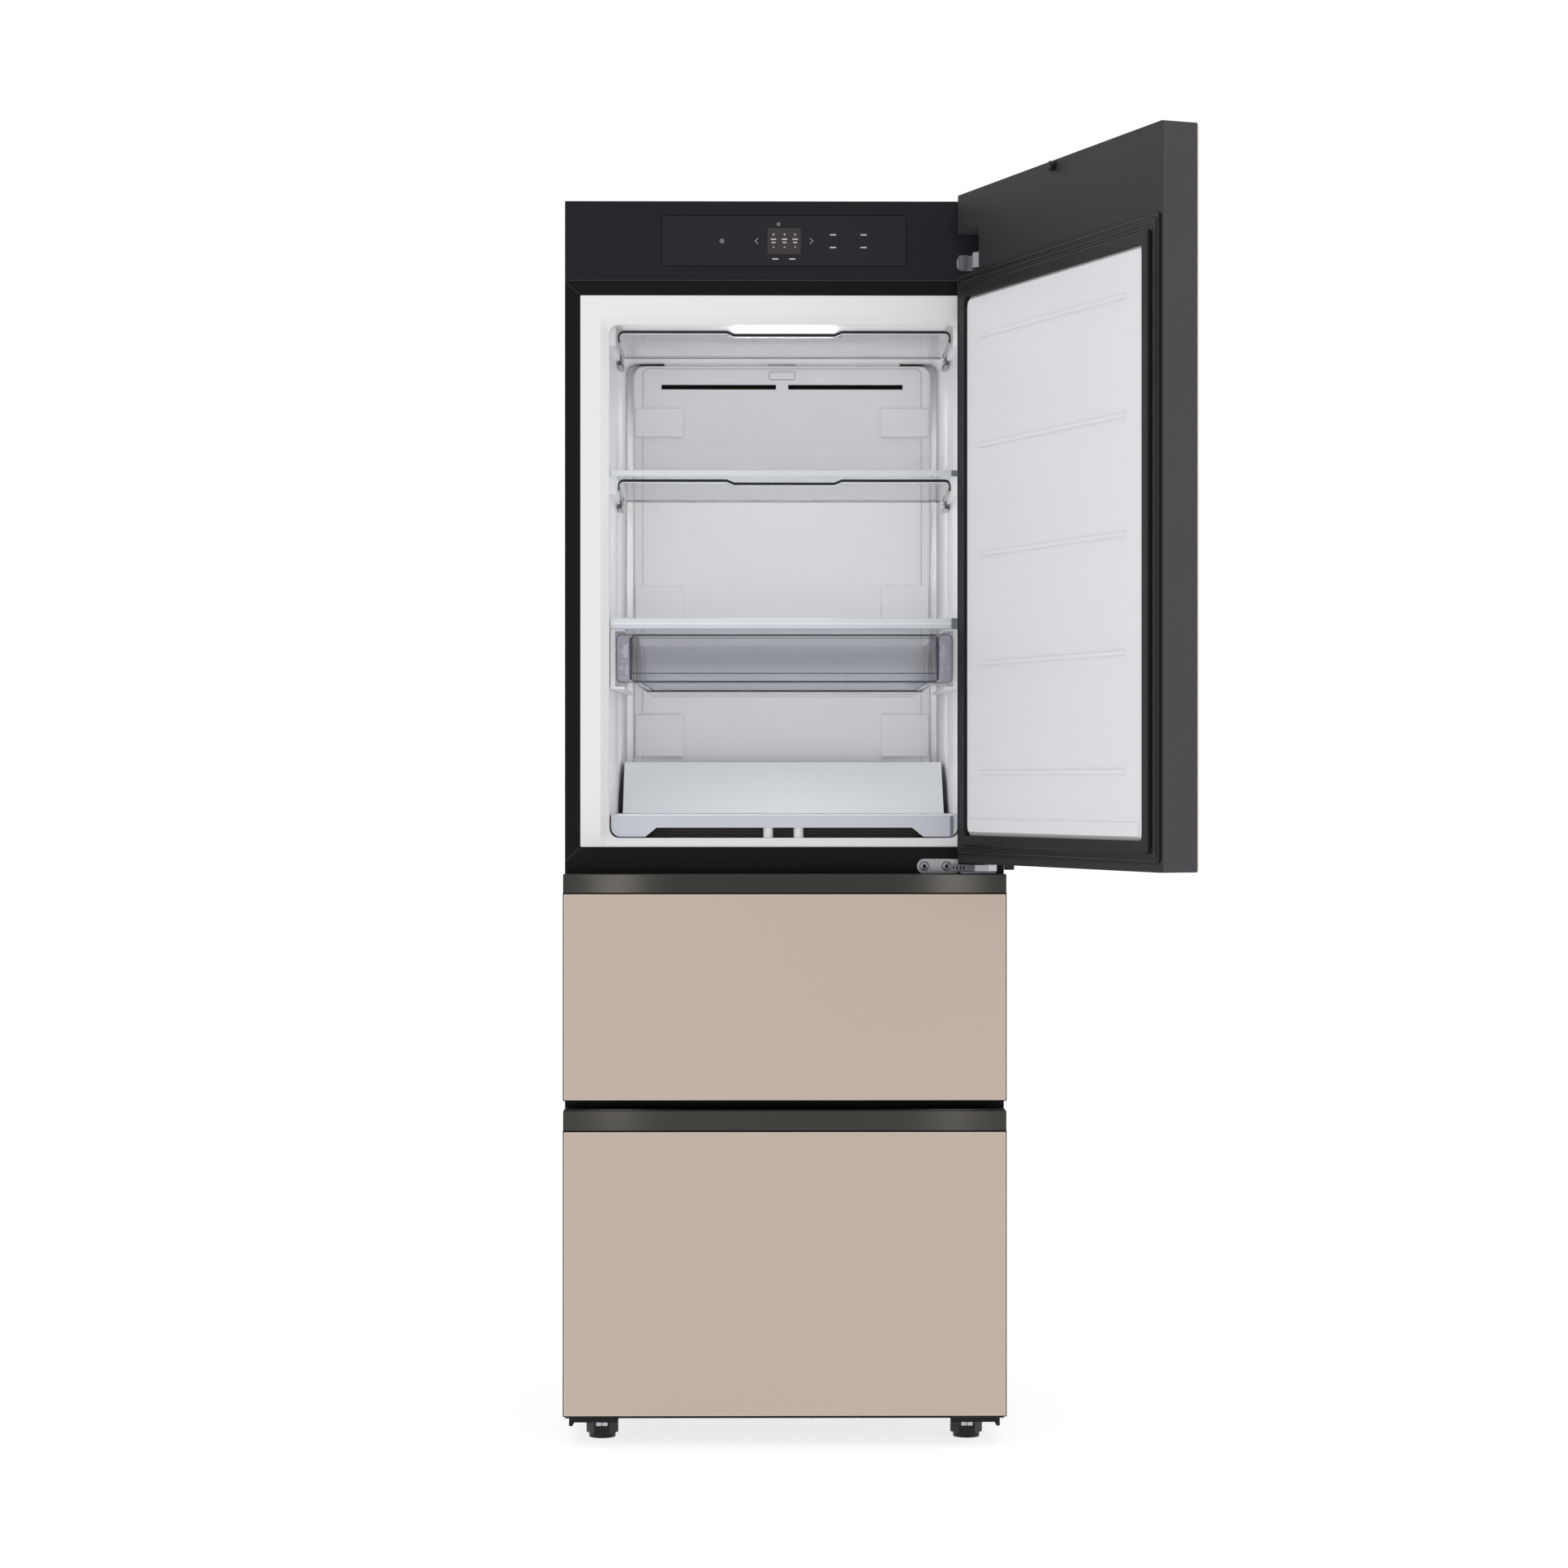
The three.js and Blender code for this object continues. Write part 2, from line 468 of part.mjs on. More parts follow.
// ---------------------------------------------------------------- front frame and fascia
const openings = [UPPER_OPENING, MIDDLE_OPENING, LOWER_OPENING];
let frontFrame = plate(-HALF, HALF, CABINET_BOTTOM + 2, FASCIA_BOTTOM - FIT, CABINET_FRONT, FRAME_BACK, 1.5);
for (const o of openings) {
  frontFrame = frontFrame.subtract(
    box(-FRAME_INNER, FRAME_INNER, CABINET_FRONT - 5, FRAME_BACK + 5, o.bottom, o.top));
}
addPiece(cabinet, 'front_frame', 'black frame', frontFrame);

const windowBottom = FASCIA_BOTTOM + WINDOW.rise;
const windowRecess = (grow) => plate(WINDOW.left - grow, WINDOW.right + grow, windowBottom - grow,
  windowBottom + WINDOW.height + grow, CABINET_FRONT - grow, CABINET_FRONT + WINDOW.thick + grow, 3);
addPiece(cabinet, 'control_panel', 'dark fascia', join([
  plate(-HALF, HALF, FASCIA_BOTTOM, CABINET_TOP, CABINET_FRONT, FRAME_BACK, 1.5, 0.6),
  fasciaHousing(0),
]).subtract(windowRecess(FIT)));
addPiece(cabinet, 'display_window', 'window', windowRecess(0));

// ---------------------------------------------------------------- hinges
// the upper arm reaches out of the fascia and turns to the pin inside the door's pocket
const topArmBottom = FASCIA_BOTTOM + TOP_ARM.rise;
const topArmTop = topArmBottom + TOP_ARM.height;
const topPlate = roundRect(TOP_ARM.left, TOP_ARM.right + TOP_ARM.boss, topArmBottom, topArmTop,
  TOP_ARM.boss - 2)
  .map(([x, z]) => [Math.min(x, TOP_ARM.right), z])
  .filter((p, i, all) => i === 0 || Math.hypot(p[0] - all[i - 1][0], p[1] - all[i - 1][1]) > 0.5);
addPiece(cabinet, 'top_hinge_bracket', 'bright steel', join([
  prism('y', topPlate, CABINET_FRONT - FIT - TOP_ARM.plate, CABINET_FRONT - FIT),
  prism('z', [[TOP_ARM.right - 10, CABINET_FRONT - 2], [TOP_ARM.right - 10, PIN.y + 8],
    [PIN.x - 5, PIN.y - 8], [PIN.x, PIN.y], [TOP_ARM.right, PIN.y + 13],
    [TOP_ARM.right, CABINET_FRONT - 2]], topArmBottom, topArmTop),
  disc('z', PIN.x, PIN.y, TOP_ARM.boss, topArmBottom, topArmTop, 20),
  disc('z', PIN.x, PIN.y, PIN.r, POCKET.bottom - 14, topArmBottom + 1, 24),
]));

// the lower arm is a round-ended plate with two deep screw recesses, and a blade under the door
const lowArmBottom = DOOR.bottom - LOW_ARM.drop;
const lowArmMiddle = lowArmBottom + LOW_ARM.height / 2;
const lowArmRadius = LOW_ARM.height / 2;
const bladeTop = DOOR.bottom - LOW_ARM_BLADE.drop;
const lowPlate = prism('y', [
  ...roundRect(LOW_ARM.left, LOW_ARM.right, lowArmBottom, lowArmBottom + LOW_ARM.height,
    lowArmRadius - 0.01, 6)
    .map(([x, z]) => [x > LOW_ARM.right - lowArmRadius ? LOW_ARM.right : x, z])
    .filter((p, i, all) => i === 0 || Math.hypot(p[0] - all[i - 1][0], p[1] - all[i - 1][1]) > 0.5),
], CABINET_FRONT - FIT - LOW_ARM.plate, CABINET_FRONT - FIT);
const screwRecess = (i) => disc('y', LOW_ARM.left + lowArmRadius + i * HINGE_SCREW.pitch, lowArmMiddle,
  HINGE_SCREW.r, CABINET_FRONT - FIT - LOW_ARM.plate - 5,
  CABINET_FRONT - FIT - LOW_ARM.plate + HINGE_SCREW.depth, 28);
addPiece(cabinet, 'lower_hinge_bracket', 'bright steel', join([
  lowPlate.subtract(join([screwRecess(0), screwRecess(1)])),
  prism('z', [[LOW_ARM.right - 12, CABINET_FRONT - 1], [LOW_ARM.right - 12, CABINET_FRONT - 7],
    [PIN.x - 20, PIN.y - 10], [PIN.x, PIN.y - 13], [PIN.x + 13, PIN.y], [PIN.x + 8, PIN.y + 12],
    [LOW_ARM.right + 10, CABINET_FRONT - 1]], bladeTop - LOW_ARM_BLADE.thick, bladeTop),
  disc('z', PIN.x, PIN.y, PIN.r, bladeTop - 1, DOOR.bottom + 15, 24),
]));

// ---------------------------------------------------------------- inside the upper compartment
const lampTop = CAVITY.top - FIT;
addPiece(cabinet, 'led_lens', 'lamp', loft('z', [
  { at: lampTop - LED.drop, outline: roundRect(-LED.half + 4, LED.half - 4, LED.front + 4,
    LED.front + LED.depth - 4, 6) },
  { at: lampTop - 1.5, outline: roundRect(-LED.half, LED.half, LED.front, LED.front + LED.depth, 9) },
  { at: lampTop, outline: roundRect(-LED.half, LED.half, LED.front, LED.front + LED.depth, 9) },
]));

// air duct cover: a moulded tray on the back wall, hollowed between its creased sides
const ductBack = CAVITY.back - FIT;
const ductPlate = (inset, from, to) => plate(-DUCT.half + inset, DUCT.half - inset,
  DUCT.bottom + inset, DUCT.top - inset, from, to, DUCT.radius - inset);
const troughHalf = DUCT.half - DUCT_PANEL.side;
const panelY = DUCT.front + DUCT_PANEL.sunk;
const troughLine = (depth) => {
  const bend = Array.from({ length: 9 }, (_, i) => {
    const x = troughHalf * (1 - i / 4);
    return [x, panelY + depth * (1 - (x / troughHalf) ** 4)];
  });
  return [[-troughHalf, DUCT.front - 2], [troughHalf, DUCT.front - 2], ...bend];
};
const troughTop = DUCT.top - TROUGH.header;
const trough = loft('z', [
  { at: DUCT.bottom - 1, outline: troughLine(TROUGH.depth) },
  { at: troughTop - TROUGH.slope, outline: troughLine(TROUGH.depth) },
  { at: troughTop, outline: troughLine(0.2) },
]);
let duct = plate(-DUCT.half, DUCT.half, DUCT.bottom, DUCT.top, DUCT.front, ductBack,
  DUCT.radius, DUCT.bevel)
  .subtract(ductPlate(DUCT.wall, panelY + TROUGH.depth + DUCT.wall, ductBack + 5))
  .subtract(plate(-troughHalf, troughHalf, DUCT.bottom + DUCT_PANEL.side, DUCT.top - DUCT_PANEL.head,
    DUCT.front - 1, panelY, DUCT_PANEL.radius))
  .subtract(trough);
// three pads on each side that stop packs from covering the air's way
for (const side of [-1, 1]) {
  for (const [from, to] of DUCT_PAD.spans) {
    const outer = DUCT.half - DUCT_PAD.inset;
    const [top, bottom] = [from, to].map((share) => CAVITY.top - share * (CAVITY.top - RAMP.headTop));
    const outline = (inset) => roundRect(outer - DUCT_PAD.width + inset, outer - inset, bottom + inset,
      top - inset, 3).map(([x, z]) => [side * x, z]);
    duct = duct.add(loft('y', [
      { at: DUCT.front - DUCT_PAD.proud, outline: outline(DUCT_PAD.bevel) },
      { at: DUCT.front - DUCT_PAD.proud + DUCT_PAD.bevel, outline: outline(0) },
      { at: panelY + TROUGH.depth + 1, outline: outline(0) }]));
  }
  const [slotFrom, slotTo] = [side * SLOT.inner, side * SLOT.outer].sort((a, b) => a - b);
  duct = duct.subtract(box(slotFrom, slotTo, DUCT.front - 5, DUCT.front + 20,
    DUCT.top - SLOT.drop - SLOT.height, DUCT.top - SLOT.drop));
}
const sensorTop = DUCT.top - SENSOR.drop;
duct = duct.subtract(plate(-SENSOR.half - FIT, SENSOR.half + FIT, sensorTop - SENSOR.height - FIT,
  sensorTop + FIT, DUCT.front - 1, DUCT.front + SENSOR.sunk, 2));
addPiece(cabinet, 'duct_cover', 'white moulding', duct);
const sensorBack = DUCT.front + SENSOR.sunk - FIT;
addPiece(cabinet, 'sensor_cover', 'white moulding', plate(-SENSOR.half, SENSOR.half,
  sensorTop - SENSOR.height, sensorTop, DUCT.front - SENSOR.proud, sensorBack, 2, 0.8));

function shelfOutline(inset) {
  return [[-cavityHalf(SHELF.front) + inset, SHELF.front], [cavityHalf(SHELF.front) - inset, SHELF.front],
    [cavityHalf(SHELF.back) - inset, SHELF.back], [-cavityHalf(SHELF.back) + inset, SHELF.back]];
}
const lipHalf = cavityHalf(SHELF.front) - SHELF.gap;
addPiece(cabinet, 'shelf_upper', 'glass', join([
  prism('z', shelfOutline(SHELF.gap), SHELF_UPPER_TOP - SHELF.glass, SHELF_UPPER_TOP),
  box(-lipHalf, lipHalf, SHELF.front, SHELF.front + SHELF.lipDepth, SHELF_UPPER_TOP - SHELF.lip,
    SHELF_UPPER_TOP)]));

// lower shelf: glass that lies on the ledge of a bright front trim, flush with its top
const trimFront = SHELF.front;
const glassFront = trimFront + TRIM.lip + FIT;
const trimHalf = lipHalf;
const glassTop = SHELF_LOWER_TOP;
addPiece(cabinet, 'shelf_lower', 'glass', prism('z', [[-trimHalf, glassFront], [trimHalf, glassFront],
  [cavityHalf(SHELF.back) - SHELF.gap, SHELF.back], [-cavityHalf(SHELF.back) + SHELF.gap, SHELF.back]],
glassTop - SHELF.glass, glassTop));
addPiece(cabinet, 'shelf_trim', 'bright trim', prism('x', [
  [trimFront, SHELF_LOWER_TOP - 2 * TRIM.groove], [trimFront + 1, SHELF_LOWER_TOP - 2 * TRIM.groove - 1],
  [trimFront + 1, TRIM_BOTTOM + 1], [trimFront + 2, TRIM_BOTTOM], [trimFront + TRIM.depth, TRIM_BOTTOM],
  [trimFront + TRIM.depth, glassTop - SHELF.glass - FIT],
  [trimFront + TRIM.lip, glassTop - SHELF.glass - FIT],
  [trimFront + TRIM.lip, SHELF_LOWER_TOP], [trimFront + 1.5, SHELF_LOWER_TOP],
  [trimFront, SHELF_LOWER_TOP - 1.5]], -trimHalf, trimHalf));

// deck over the floor: folded front wall with round lower corners and a cut-out under it
const deckCorner = (side) => Array.from({ length: 6 }, (_, i) => {
  const t = (i / 5) * Math.PI / 2;
  return [side * (DECK.half - DECK.corner * (1 - Math.sin(t))),
    DECK.bottom + DECK.corner * (1 - Math.cos(t))];
});
const deckCutTop = CAVITY.bottom + DECK_CUT.rise;
const deckFace = [[-DECK_CUT.halfBottom, DECK.bottom], [-DECK_CUT.halfTop, deckCutTop],
  [DECK_CUT.halfTop, deckCutTop], [DECK_CUT.halfBottom, DECK.bottom], ...deckCorner(1),
  [DECK.half, DECK.top], [-DECK.half, DECK.top], ...deckCorner(-1).reverse()];
addPiece(cabinet, 'bottom_deck', 'metal look', join([
  prism('y', deckFace, DECK.front, DECK.front + DECK.sheet),
  prism('z', [[-DECK.half, DECK.front + 1], [DECK.half, DECK.front + 1],
    [cavityHalf(DECK.back) - 1.5, DECK.back], [-cavityHalf(DECK.back) + 1.5, DECK.back]],
  DECK.top - DECK.sheet, DECK.top),
  box(-RAMP.standHalf, RAMP.standHalf, DECK.back - DECK.sheet, DECK.back, CAVITY.bottom + FIT, DECK.top - 1),
]));
addPiece(cabinet, 'cooling_plate', 'metal look', join([
  box(-RAMP.standHalf, RAMP.standHalf, RAMP.foot, RAMP.foot + RAMP.thick, CAVITY.bottom + FIT,
    RAMP.footTop - 4),
  prism('x', [[RAMP.foot, RAMP.footTop - 5], [RAMP.foot + RAMP.thick, RAMP.footTop - 5],
    [RAMP.head + 1, RAMP.headTop - RAMP.thick], [DUCT.front - FIT, RAMP.headTop - RAMP.thick],
    [DUCT.front - FIT, RAMP.headTop], [RAMP.head, RAMP.headTop], [RAMP.foot, RAMP.footTop]],
  -RAMP.half, RAMP.half)]));

// ---------------------------------------------------------------- flap guards
// clear hood, open at its back, whose sides hang down and whose front rim is thicker
function flapGuard() {
  const top = FLAP.rim / 2;
  // half of the hood's line, from the middle out and down, at a distance inside its outer face
  const line = (dip, skirt, inset, across) => {
    const r = FLAP.corner - inset;
    const corner = Array.from({ length: 4 }, (_, i) => {
      const t = (i / 3) * Math.PI / 2;
      return [FLAP.half - FLAP.corner + r * Math.sin(t) + (inset - across) * Math.sin(t),
        top - FLAP.corner + r * Math.cos(t)];
    });
    return [[FLAP_DIP.flat, top - inset - dip], [FLAP_DIP.half, top - inset], ...corner,
      [FLAP.half - across, top - skirt]];
  };
  const section = (dip, skirt, thick, across) => {
    const outer = line(dip, skirt, 0, 0);
    const inner = line(dip, skirt, thick, across);
    const mirrored = (points) => points.map(([x, z]) => [-x, z]);
    return [...mirrored(outer).reverse(), ...outer, ...inner.reverse(), ...mirrored(inner).reverse()];
  };
  const { depth, reach } = FLAP_DIP;
  const { front, back, thick } = FLAP_SKIRT;
  const hood = loft('y', [
    { at: -FLAP.reach, outline: section(depth, front, FLAP.thick, thick) },
    { at: -FLAP.reach + FLAP.rimDepth, outline: section(depth, front, FLAP.thick, thick) },
    { at: -FLAP.reach + reach, outline: section(0.05, front - 2, FLAP.thick, thick) },
    { at: -FLAP_PIN_R * 2, outline: section(0.05, back, FLAP.thick, thick) },
    { at: FLAP_PIN_R * 2, outline: section(0.05, back, FLAP.thick, thick) },
  ]);
  const rim = loft('y', [
    { at: -FLAP.reach - 0.5, outline: section(depth, front + 0.5, FLAP.rim, thick + 0.5) },
    { at: -FLAP.reach + FLAP.rimDepth, outline: section(depth, front + 0.5, FLAP.rim, thick + 0.5) },
  ]);
  const pins = [-1, 1].map((side) => disc('x', 0, 0, FLAP_PIN_R, side * (FLAP.half - thick / 2),
    side * (RUNNER.inner + RUNNER.ear), 16));
  return join([hood, rim, ...pins]);
}

function flapRunner(side) {
  const ear = prism('x', roundRect(-7, 7, -FLAP_PIN_ABOVE_RAIL - FIT - 2, 7, 5), side * RUNNER.inner,
    side * (RUNNER.inner + RUNNER.ear));
  const foot = loft('x', [
    { at: side * RUNNER.inner,
      outline: roundRect(-7, RUNNER.length - 7, -FLAP_PIN_ABOVE_RAIL - FIT - RUNNER.foot,
      -FLAP_PIN_ABOVE_RAIL - FIT, 1.5) },
    { at: side * RUNNER.outer, outline: roundRect(-5, RUNNER.length - 9,
      -FLAP_PIN_ABOVE_RAIL - FIT - RUNNER.foot, -FLAP_PIN_ABOVE_RAIL - FIT, 1.5) },
  ]);
  return join([ear, foot]).subtract(disc('x', 0, 0, FLAP_PIN_R + FIT, side * (RUNNER.inner - 5),
    side * (RUNNER.outer + 5), 16));
}

for (const [level, railTop] of [['upper', RAIL_TOPS[0]], ['lower', RAIL_TOPS[1]]]) {
  const carriage = groupAt(cabinet, 0, FLAP_PIN_Y, railTop - RAIL.height + FLAP_PIN_ABOVE_RAIL);
  addPiece(carriage, `flap_${level}_runner_left`, 'dark clear plastic', flapRunner(-1));
  addPiece(carriage, `flap_${level}_runner_right`, 'dark clear plastic', flapRunner(1));
  const guard = groupAt(carriage, 0, 0, 0);
  guard.rotation.x = -FLAP_TILT;
  addPiece(guard, `flap_${level}`, 'smoke plastic', flapGuard());
}

// ---------------------------------------------------------------- pull-out tray and its rails
for (const [name, side] of [['left', -1], ['right', 1]]) {
  const top = TRIM_BOTTOM - FIT;
  const bottom = TRIM_BOTTOM - TRAY_RAIL.depth;
  const ledge = TRIM_BOTTOM - TRAY_RAIL.drop;
  const outline = (y, web) => {
    const wall = cavityHalf(y) - 1;
    const inner = wall - web;
    return [[wall, bottom], [wall, top], [TRAY_RAIL.inner, top], [TRAY_RAIL.inner, top - 3],
      [inner, top - 3], [inner, ledge], [TRAY_RAIL.inner + 2, ledge],
      [TRAY_RAIL.inner + 2, ledge - 3], [inner, ledge - 3],
      [inner, bottom + 3], [TRAY_RAIL.inner, bottom + 3],
      [TRAY_RAIL.inner, bottom]].map(([x, z]) => [side * x, z]);
  };
  addPiece(cabinet, `tray_rail_${name}`, 'white moulding', loft('y', [
    { at: TRAY_RAIL.front, outline: outline(TRAY_RAIL.front, TRAY_RAIL.web) },
    { at: TRAY_RAIL.back, outline: outline(TRAY_RAIL.back, TRAY_RAIL.webBack) }]));
}
const trayTop = TRIM_BOTTOM - TRAY.drop;
const trayBottom = trayTop - TRAY.depth;
const trayBody = (grow, top) => loft('z', [[trayBottom + grow, TRAY_KNEE.inset],
  [trayBottom + TRAY_KNEE.rise, 2], [top, 0]].map(([at, inset]) => ({
  at, outline: roundRect(-TRAY.half + inset + grow, TRAY.half - inset - grow,
    TRAY.front + grow, TRAY.back - inset - grow, 10) })));
const faceTop = TRIM_BOTTOM - TRAY_FACE.drop;
const trayFlangeBottom = TRIM_BOTTOM - TRAY_RAIL.drop + FIT;
addPiece(cabinet, 'tray', 'smoke plastic', join([
  trayBody(0, trayTop),
  plate(-TRAY_FACE.half, TRAY_FACE.half, faceTop - TRAY_FACE.height, faceTop,
    TRAY.front - TRAY_FACE.thick, TRAY.front + 0.5, TRAY_FACE.corner, 1),
  prism('z', roundRect(-TRAY_FLANGE.half, TRAY_FLANGE.half, TRAY.front + 6, TRAY.back, 6),
    trayFlangeBottom, trayFlangeBottom + TRAY_FLANGE.thick),
]).subtract(trayBody(TRAY.wall, trayTop + 1)));

// ---------------------------------------------------------------- hinged door
const hinge = groupAt(cabinet, PIN.x, PIN.y, 0);
hinge.rotation.z = DOOR_OPEN;
const door = groupAt(hinge, -PIN.x, -PIN.y, 0);
const doorShell = plate(-HALF, HALF, DOOR.bottom, DOOR.top, DOOR.skin + FIT, DOOR.thick, 2)
  .subtract(box(POCKET.left, HALF + 5, POCKET.front, DOOR.thick + 5, POCKET.bottom, POCKET.top))
  .subtract(disc('z', PIN.x, PIN.y, PIN.r + FIT, POCKET.bottom - 15, POCKET.bottom + 5, 24))
  .subtract(disc('z', PIN.x, PIN.y, PIN.r + FIT, DOOR.bottom - 5, DOOR.bottom + 16, 24));
addPiece(door, 'door_shell', 'door charcoal', doorShell);
addPiece(door, 'door_front_panel', 'beige metal', plate(-HALF + DOOR.edge, HALF - DOOR.edge,
  DOOR.bottom + DOOR.edge, DOOR.top - DOOR.edge, 0, DOOR.skin, 2, 0.6));

// inner liner of the door: bevelled slab with shallow pressed ribs across it
const linerBack = DOOR.thick + FIT;
const linerOutline = (inset) => roundRect(-DOOR_LINER.half + inset, DOOR_LINER.half - inset,
  DOOR_LINER.bottom + inset, DOOR_LINER.top - inset, DOOR_LINER.radius);
let doorLiner = loft('y', [
  { at: linerBack, outline: linerOutline(0) },
  { at: linerBack + 1.5, outline: linerOutline(0) },
  { at: linerBack + DOOR_LINER.proud, outline: linerOutline(DOOR_LINER.bevel) }]);
for (let i = 0; i < DOOR_RIB.count; i++) {
  const z = DOOR_LINER.top - DOOR_RIB.drop - i * DOOR_RIB.pitch;
  doorLiner = doorLiner.add(loft('y', [
    { at: linerBack + 2, outline: roundRect(-DOOR_RIB.half, DOOR_RIB.half, z - DOOR_RIB.height / 2 - 1,
      z + DOOR_RIB.height / 2 + 1, 2) },
    { at: linerBack + DOOR_LINER.proud + DOOR_RIB.proud, outline: roundRect(-DOOR_RIB.half + 3,
      DOOR_RIB.half - 3, z - DOOR_RIB.height / 2 + 1, z + DOOR_RIB.height / 2 - 1, 1) }]));
}
// ledge across the liner's foot
const ledgeBottom = DOOR_LINER.bottom + DOOR_LEDGE.rise;
const ledgeOutline = (inset) => {
  const half = DOOR_LINER.half - DOOR_LEDGE.inset - inset;
  return roundRect(-half, half, ledgeBottom + inset, ledgeBottom + DOOR_LEDGE.height - inset, 4);
};
doorLiner = doorLiner.add(loft('y', [{ at: linerBack + 3, outline: ledgeOutline(0) },
  { at: linerBack + DOOR_LINER.proud + DOOR_LEDGE.proud, outline: ledgeOutline(3) }]));
addPiece(door, 'door_liner', 'door white', doorLiner);

// soft magnetic gasket: low outer flange, raised bulb that meets the cabinet
function gasketRing(outer, bottom, top, bulbOut, bulbIn, innerBottom, innerTop) {
  const frontY = DOOR.thick + FIT;
  const sealY = CABINET_FRONT - FIT;
  const ring = (x1, z0, z1, y1, r) => plate(-x1, x1, z0, z1, frontY, y1, r);
  const cutter = (x1, z0, z1) => plate(-x1, x1, z0, z1, frontY - 5, sealY + 5, 8);
  const inset = outer - bulbOut;
  const width = bulbOut - bulbIn;
  const low = ring(outer, bottom, top, frontY + GASKET.flange, 6)
    .subtract(cutter(bulbIn, innerBottom, innerTop));
  const midBottom = innerBottom - Math.min(width, (innerBottom - bottom) * 0.55);
  const midTop = innerTop + Math.min(width, (top - innerTop) * 0.55);
  const bulb = loft('y', [
    { at: frontY, outline: roundRect(-bulbOut, bulbOut, midBottom, midTop, 6) },
    { at: sealY - 2, outline: roundRect(-bulbOut, bulbOut, midBottom, midTop, 6) },
    { at: sealY, outline: roundRect(-bulbOut + 2, bulbOut - 2, midBottom + 2, midTop - 2, 5) },
  ]).subtract(cutter(bulbIn, innerBottom, innerTop));
  const lip = ring(outer - inset / 3, bottom + GASKET.lip, top - GASKET.lip,
    frontY + GASKET.flange + GASKET.lipRise, 6)
    .subtract(cutter(outer - inset / 3 - GASKET.lip, bottom + 2 * GASKET.lip, top - 2 * GASKET.lip));
  return join([low, bulb, lip]);
}
addPiece(door, 'door_gasket', 'rubber', gasketRing(HALF - GASKET.lap, UPPER_OPENING.bottom - GASKET.below,
  UPPER_OPENING.top + GASKET.above, HALF - GASKET.bulb, DOOR_LINER.half + FIT, DOOR_LINER.bottom - FIT,
  DOOR_LINER.top + FIT));
const bumperZ = DOOR.top - BUMPER.drop;
addPiece(door, 'door_bumper', 'black plastic', loft('y', [
  { at: DOOR.thick + FIT, outline: circle(0, bumperZ, BUMPER.r) },
  { at: CABINET_FRONT - FIT - 2.5, outline: circle(0, bumperZ, BUMPER.r) },
  { at: CABINET_FRONT - FIT, outline: circle(0, bumperZ, BUMPER.r - 2.5) }]));

function circle(ca, cb, r, sides = 20) {
  return Array.from({ length: sides }, (_, i) => {
    const t = (i / sides) * 2 * Math.PI;
    return [ca + r * Math.cos(t), cb + r * Math.sin(t)];
  });
}

